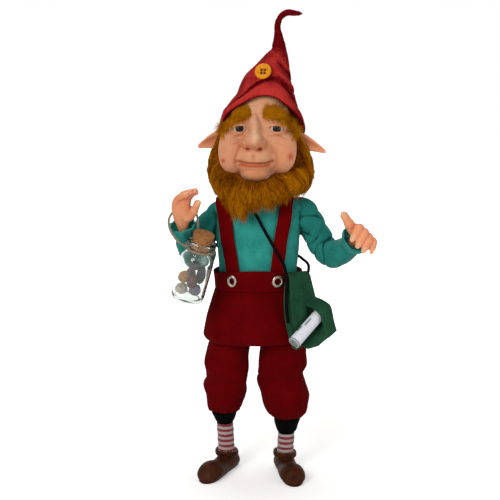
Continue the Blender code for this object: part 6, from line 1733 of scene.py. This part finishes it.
def plied(name, path, radius, plies, pitch, sides=9):
    """Plies laid round a path: each ply's centre turns by 2 pi s / pitch at half the radius."""
    ring = tube(path, np.ones(len(path)), 4)
    u, v = ring[:, 0] - path, ring[:, 1] - path
    along = lengths(path)
    grids = []
    for ply in range(plies):
        phase = 2 * math.pi * (along / pitch + ply / plies)
        centre = path + 0.5 * radius * (np.cos(phase)[:, None] * u + np.sin(phase)[:, None] * v)
        grids.append(tube(centre, np.full(len(path), 0.54 * radius), sides))
    points, faces, values = [], [], []
    for grid in grids:
        first = sum(len(p) for p in points)
        rows, columns = grid.shape[:2]
        own = grid_faces(rows, columns)
        own.append(list(range(columns))[::-1])
        own.append(list(range((rows - 1) * columns, rows * columns)))
        flat = grid.reshape(-1, 3)
        own = outward(flat, own)
        faces += [[corner + first for corner in face] for face in own]
        points.append(flat)
        values.append(np.repeat(along, columns))
    mesh = mesh_from(name, np.concatenate(points), faces, {"along": np.concatenate(values)})
    mesh.shade_smooth()
    return shown(name, mesh)


def bottle_ring(turn, height, out):
    """A point beside the bottle's neck, turn measured from its front."""
    local = points_at(np.sin(turn) * out, -np.cos(turn) * out, height)
    return set_on(local, BOTTLE_BASE, BOTTLE_AXIS)


out, top, pitch = 9.13, 36.55, 1.75 / (2 * math.pi)
turns = np.linspace(-4.6, 4.2, 22)
wraps = bottle_ring(turns, top - pitch * (4.2 - turns), out)
over_hand = np.array([
    (-50.0, -37.4, 170.6), (-54.6, -37.0, 176.0), (-57.0, -33.8, 180.6), (-56.8, -28.2, 186.0),
    (-53.6, -24.6, 189.6), (-48.4, -23.4, 191.6), (-43.4, -23.8, 191.6), (-40.0, -26.6, 188.4),
    (-38.8, -29.6, 183.6), (-38.8, -28.0, 178.6), (-39.6, -25.2, 174.4),
])
knot = bottle_ring(-4.0, top, out + 2.45)
path = route(np.concatenate([wraps, over_hand, knot[None]]), 560)
jute = felt("jute_twine_fibre", "#6f6050", "#ab9a88", fibre=0.35, cloud=3.0, sheen=0.1, depth=0.1)
dress(plied("jute_twine", path, 0.72, 3, 3.2), jute, "twine_jute", "twine")


# Satchel
# A flat bag of dark green felt that hangs at the right hip; its flap is slit, and one strip of it passes
# over a rolled sheet of paper.

BAG_TOP, BAG_HALF, BAG_DROP, BAG_DEPTH = np.array((25.2, -16.6, 144.8)), 12.5, 45.5, 6.6
BAG_FRAME = np.array(Matrix.Rotation(math.radians(45), 3, "Z") @ Matrix.Rotation(-math.radians(5.5), 3, "X"))


def hang(grid):
    """Bends the bag's flat frame: its spine tilts from -5 to 20 degrees down its length; then turns it."""
    low, high = math.radians(-5), math.radians(20)
    bend = (high - low) / BAG_DROP
    x, y, z = grid[..., 0], grid[..., 1], grid[..., 2]
    tilt = low + bend * np.maximum(-z, 0.0)
    spine_x = (math.cos(low) - np.cos(tilt)) / bend
    spine_z = -(np.sin(tilt) - math.sin(low)) / bend + np.maximum(z, 0.0)
    flat = np.stack([spine_x + x * np.cos(tilt), y, spine_z + x * np.sin(tilt)], -1)
    return flat @ BAG_FRAME.T + BAG_TOP


def bag_flare(z):
    """Half width and half depth of the bag at a height below its top."""
    share = np.clip(-z / BAG_DROP, 0, 1)
    half = BAG_HALF * (0.71 + 0.31 * np.sin(np.minimum(1.4 * share, 1.0) * math.pi / 2))
    return half, BAG_DEPTH / 2 * (0.55 + 0.55 * np.sin(share * 2.6))


green_felt = felt("dark_green_felt", "#183d2c", "#2e5a3f", fibre=0.5, cloud=8.0, sheen=0.05, depth=0.2)
a = circle(180, -math.pi)[None, :]
z = -BAG_DROP * np.concatenate([np.linspace(0.03, 0.95, 80), np.linspace(0.955, 1.0, 10)])[:, None]
half, depth = bag_flare(z)
close = np.sqrt(np.clip((BAG_DROP * 1.004 + z) / 2.6, 0, 1))
half, depth = half * (0.9 + 0.1 * close), depth * (0.55 + 0.45 * close)
sine, cosine = np.sin(a), np.cos(a)
seam = 0.35 * bump(np.abs(sine) - 0.93, 0.035)
wave = 0.3 * np.sin(z * 0.22 + 2 * sine) * bump(cosine, 0.6)
grid = points_at(
    (half + seam) * np.sign(sine) * np.abs(sine) ** 0.45,
    -(depth + seam + wave) * np.sign(cosine) * np.abs(cosine) ** 0.6, z,
)
dress(surface("felt_satchel_body", hang(grid)), green_felt, "bag_felt", "satchel")
FLAP_LONG, FLAP_GAP, FLAP_HALF = 43.5, 0.525, 0.6  # its drop, its distance from the bag, half its thickness
RIDGE = 0.13  # share of the flap's length that lies over the bag's top
ROLL_RADIUS, ROLL_HALF, ROLL_X, ROLL_LOW = 4.5, 19.0, -3.0, -BAG_DROP * 0.68
ROLL_SLOPE = math.radians(17)  # the roll's slope across the bag
ROLL_TAN = math.tan(ROLL_SLOPE)


def flap_line(x, run, over):
    """The flap's middle line: over the top's ridge for run < RIDGE, then down the front. The strip stands
    out over the roll and hangs from it; the rest passes behind the roll and comes forward under it."""
    lift = FLAP_GAP + FLAP_HALF
    half_top = bag_flare(0.0)[1]
    turn = np.clip(run / RIDGE, 0, 1)
    level = -np.clip((run - RIDGE) / (1 - RIDGE), 0, 1) * FLAP_LONG
    window = 1.9 * ROLL_RADIUS / math.cos(ROLL_SLOPE)
    below = (ROLL_LOW + ROLL_TAN * (x - ROLL_X) - level) / window
    if over:
        out = np.maximum(0.0, 1 - np.minimum(below, 0.0) ** 2) ** 0.6
    else:
        out = np.clip((below - 0.78) / 0.5, 0, 1)
    forward = out * (2 * ROLL_RADIUS + 2 * FLAP_HALF + 6 * 0.35)
    depth = bag_flare(np.maximum(level, ROLL_LOW))[1] + lift + forward
    on_top = run < RIDGE
    y = np.where(on_top, half_top * (1 - 2 * turn), -depth)
    z = np.where(on_top, lift + 0.8 * np.sin(turn * math.pi), level)
    return y, z


def flap_piece(name, left, right, over, start=0.0):
    """A closed felt strip 1.2 mm thick with rounded edges, between two shares of the bag's width."""
    rows, columns = 180, 34
    run = np.linspace(start, 1, rows)[:, None]
    c = np.sin(np.linspace(-math.pi / 2, math.pi / 2, columns))[None, :]
    x = (left + (right - left) * (c + 1) / 2) * bag_flare(-FLAP_LONG * run)[0] * 1.01
    y, z = flap_line(x, run, over)
    for _ in range(3):
        y[1:-1] = (y[:-2] + 2 * y[1:-1] + y[2:]) / 4
        z[1:-1] = (z[:-2] + 2 * z[1:-1] + z[2:]) / 4
    y = y - 0.25 * np.sin(x * 0.5 + run * 5) * run
    dy, dz = np.gradient(y, axis=0), np.gradient(z, axis=0)
    size = np.hypot(dy, dz) + 1e-9
    hem = np.minimum(1, np.sqrt(np.clip((1.002 - run) / 0.012, 0, 1)))
    thick = FLAP_HALF * (1 - np.abs(c) ** 14) ** 0.5 * hem
    ny, nz = dz / size * thick, -dy / size * thick
    front = np.stack([x, y + ny, z + nz], -1)
    back = np.stack([x, y - ny, z - nz], -1)[:, ::-1]
    return surface(name, hang(np.concatenate([front, back], axis=1)))


dress(flap_piece("felt_flap", -0.96, 0.17, False), green_felt, "bag_felt", "satchel_flap")
dress(flap_piece("felt_flap_strip", 0.155, 1.0, True), green_felt, "bag_felt")
dress(flap_piece("felt_flap_corner", 0.165, 0.9, False, 0.7), green_felt, "bag_felt")


# Paper roll
# A sheet of printed paper rolled one and three quarter turns and pushed under the flap's strip.

def printed_paper(name):
    """White coated paper; a thin border line at each edge and a few plain grey and green shapes."""
    mat, shader = principled(name, roughness=0.55)
    fleck = noise(mat, 1.0, 3)
    lengthwise = add(mat, "Attribute", out=2, attribute_name="lengthwise")
    girth = add(mat, "Attribute", out=2, attribute_name="girth")
    colour = add(
        mat, "Mix", out=2, data_type="RGBA", in0=fleck, in6=linear("#dde0e8"), in7=linear("#e9ebf1"),
    )

    def within(value, centre, half):
        """1 where a value is within half of a centre, with a soft edge."""
        away = add(
            mat, "Math", operation="ABSOLUTE",
            in0=add(mat, "Math", operation="SUBTRACT", in0=value, in1=centre),
        )
        return add(mat, "MapRange", value=away, from_min=half + 0.12, from_max=half - 0.12)

    for at, reach, shade in (  # centre and half sizes, in mm along the roll and round it
        ((-18.6, 0), (0.3, 60), "#0b0e0c"), ((18.6, 0), (0.3, 60), "#0b0e0c"),
        ((-9.0, 23.0), (2.6, 2.4), "#7c8388"), ((-2.0, 26.5), (3.4, 0.5), "#5c6b62"),
        ((8.0, 22.5), (0.5, 2.4), "#6f7a80"), ((11.5, 27.5), (1.8, 0.9), "#79916f"),
    ):
        across, up = within(lengthwise, at[0], reach[0]), within(girth, at[1], reach[1])
        inside = add(mat, "Math", operation="MULTIPLY", in0=across, in1=up)
        colour = add(mat, "Mix", out=2, data_type="RGBA", in0=inside, in6=colour, in7=linear(shade))
    return finish_with(mat, shader, colour, fleck, 0.02)


turn = np.linspace(0, 2 * math.pi * 1.75, 150)
radius = ROLL_RADIUS - 0.45 - (ROLL_RADIUS - 2.6) * (1 - turn / turn[-1])
outer = np.stack([(radius + 0.4) * np.cos(turn), (radius + 0.4) * np.sin(turn)], -1)
inner = np.stack([radius * np.cos(turn), radius * np.sin(turn)], -1)[::-1]
outline = np.concatenate([outer, inner])
place = np.linspace(-ROLL_HALF, ROLL_HALF, 40)
grid = np.concatenate([
    np.broadcast_to(outline, (40, *outline.shape)), np.broadcast_to(place[:, None, None], (40, 300, 1)),
], -1)
girth = np.concatenate([lengths(outer), np.full(150, -50.0)]) * np.ones((40, 1))
front = -float(bag_flare(ROLL_LOW)[1]) - FLAP_GAP - 2 * FLAP_HALF - 0.7 - ROLL_RADIUS
spots = hang(np.array([(ROLL_X, front, ROLL_LOW), (ROLL_X + 1, front, ROLL_LOW + ROLL_TAN)]))
roll = surface(
    "rolled_paper", set_on(grid, spots[0], spots[1] - spots[0]),
    values={"lengthwise": place[:, None] * np.ones((1, 300)), "girth": girth},
)
dress(roll, printed_paper("printed_coated_paper"), "paper", "paper_roll")


# Satchel cord
# A round black braided cord from one end of the bag, across the chest and over the far shoulder, back round
# the hip to the other end.

clear = 1.7
near = [(-bag_flare(-down)[0] - clear, -2.0, -down) for down in (27.0, 20.0, 12.0, 5.0)]
far = [(bag_flare(-3.0)[0] + clear, 1.0, -3.0)]
over_body = np.array([
    (17.6, -22.9, 150.4), (11.0, -21.5, 163.0), (3.8, -21.2, 176.0), (-2.4, -19.9, 187.0),
    (-9.6, -16.0, 195.4), (-13.4, -8.4, 200.8), (-14.2, 0.6, 201.8), (-11.4, 9.8, 198.4),
    (-5.4, 17.4, 189.0), (4.0, 21.0, 176.0), (12.4, 22.2, 162.6), (21.8, 18.8, 154.6), (29.8, 10.4, 150.6),
    (33.8, 1.0, 147.8),
])
path = route(np.concatenate([hang(np.array(near)), over_body, hang(np.array(far))]), 620)
cord_black = felt("black_braided_cord", "#040404", "#161414", fibre=0.3, sheen=0.04, depth=0.1)
dress(plied("braided_cord", path, 1.0, 4, 5.0, 10), cord_black, "cord_black", "satchel_cord")


# Floor, light and camera
# A plain pale floor under a large soft key light from the left, a weaker fill from the right and a light
# from above; the picture's ground is white.

bpy.ops.mesh.primitive_plane_add(size=4.0, location=(0, 0, 0))
floor = bpy.context.object
floor.name = "floor"
paper_floor, floor_shader = principled("pale_floor", roughness=0.9, specular_ior_level=0.1)
floor_shader.inputs["Base Color"].default_value = linear("#f4f3f1")
floor_shader.inputs["Emission Color"].default_value = (1, 1, 1, 1)
place = add(paper_floor, "TexCoord", out=3)
away = add(paper_floor, "VectorMath", out=1, operation="LENGTH", in0=place)
fading = add(paper_floor, "MapRange", value=away, from_min=0.06, from_max=0.5, to_min=0.42, to_max=1.0)
seen = add(paper_floor, "LightPath")
paths = paper_floor.node_tree.nodes[-1]
either = add(paper_floor, "Math", operation="MAXIMUM", in0=seen, in1=paths.outputs["Is Glossy Ray"])
either = add(paper_floor, "Math", operation="MAXIMUM", in0=either, in1=paths.outputs["Is Transmission Ray"])
glow = add(paper_floor, "Math", operation="MULTIPLY", in0=fading, in1=either)
paper_floor.node_tree.links.new(glow, floor_shader.inputs["Emission Strength"])
floor.data.materials.append(paper_floor)
floor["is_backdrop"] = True


def softbox(name, spot, size, power, colour=(1, 1, 1)):
    """A square area light that faces the figure's chest."""
    light = bpy.data.lights.new(name, "AREA")
    light.size = size
    light.energy = power
    light.color = colour
    lamp = bpy.data.objects.new(name, light)
    lamp.location = spot
    lamp.rotation_euler = (Vector((0, 0, 0.17)) - Vector(spot)).to_track_quat("-Z", "Y").to_euler()
    bpy.context.scene.collection.objects.link(lamp)


softbox("key_light", (-0.55, -1.05, 0.75), 0.55, 9.4, (1.0, 0.985, 0.96))
softbox("fill_light", (0.9, -0.8, 0.35), 0.7, 2.9)
softbox("top_light", (0.0, 0.25, 1.2), 0.8, 4.4)

world = bpy.data.worlds.new("studio")
world.use_nodes = True
bpy.context.scene.world = world
nodes, links = world.node_tree.nodes, world.node_tree.links
seen = nodes.new("ShaderNodeLightPath")
strength = nodes.new("ShaderNodeMapRange")
strength.inputs["To Min"].default_value = 0.24
strength.inputs["To Max"].default_value = 1.0
either = seen.outputs["Is Camera Ray"]
for kind in ("Is Transmission Ray", "Is Glossy Ray"):
    larger = nodes.new("ShaderNodeMath")
    larger.operation = "MAXIMUM"
    links.new(either, larger.inputs[0])
    links.new(seen.outputs[kind], larger.inputs[1])
    either = larger.outputs[0]
links.new(either, strength.inputs["Value"])
links.new(strength.outputs[0], nodes["Background"].inputs["Strength"])
nodes["Background"].inputs["Color"].default_value = (1, 1, 1, 1)

camera_data = bpy.data.cameras.new("camera")
camera_data.lens = 97.2
camera_data.sensor_width = 36.0
camera = bpy.data.objects.new("camera", camera_data)
bpy.context.scene.collection.objects.link(camera)
aim = Vector((AXIS[0] - 0.00533, AXIS[1], 0.15845))
rise = math.radians(11.5)
camera.location = aim + Vector((0, -math.cos(rise), math.sin(rise))) * 0.9
camera.rotation_euler = (aim - camera.location).to_track_quat("-Z", "Y").to_euler()
bpy.context.scene.camera = camera
bpy.context.scene.view_settings.view_transform = "Standard"

low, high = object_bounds()
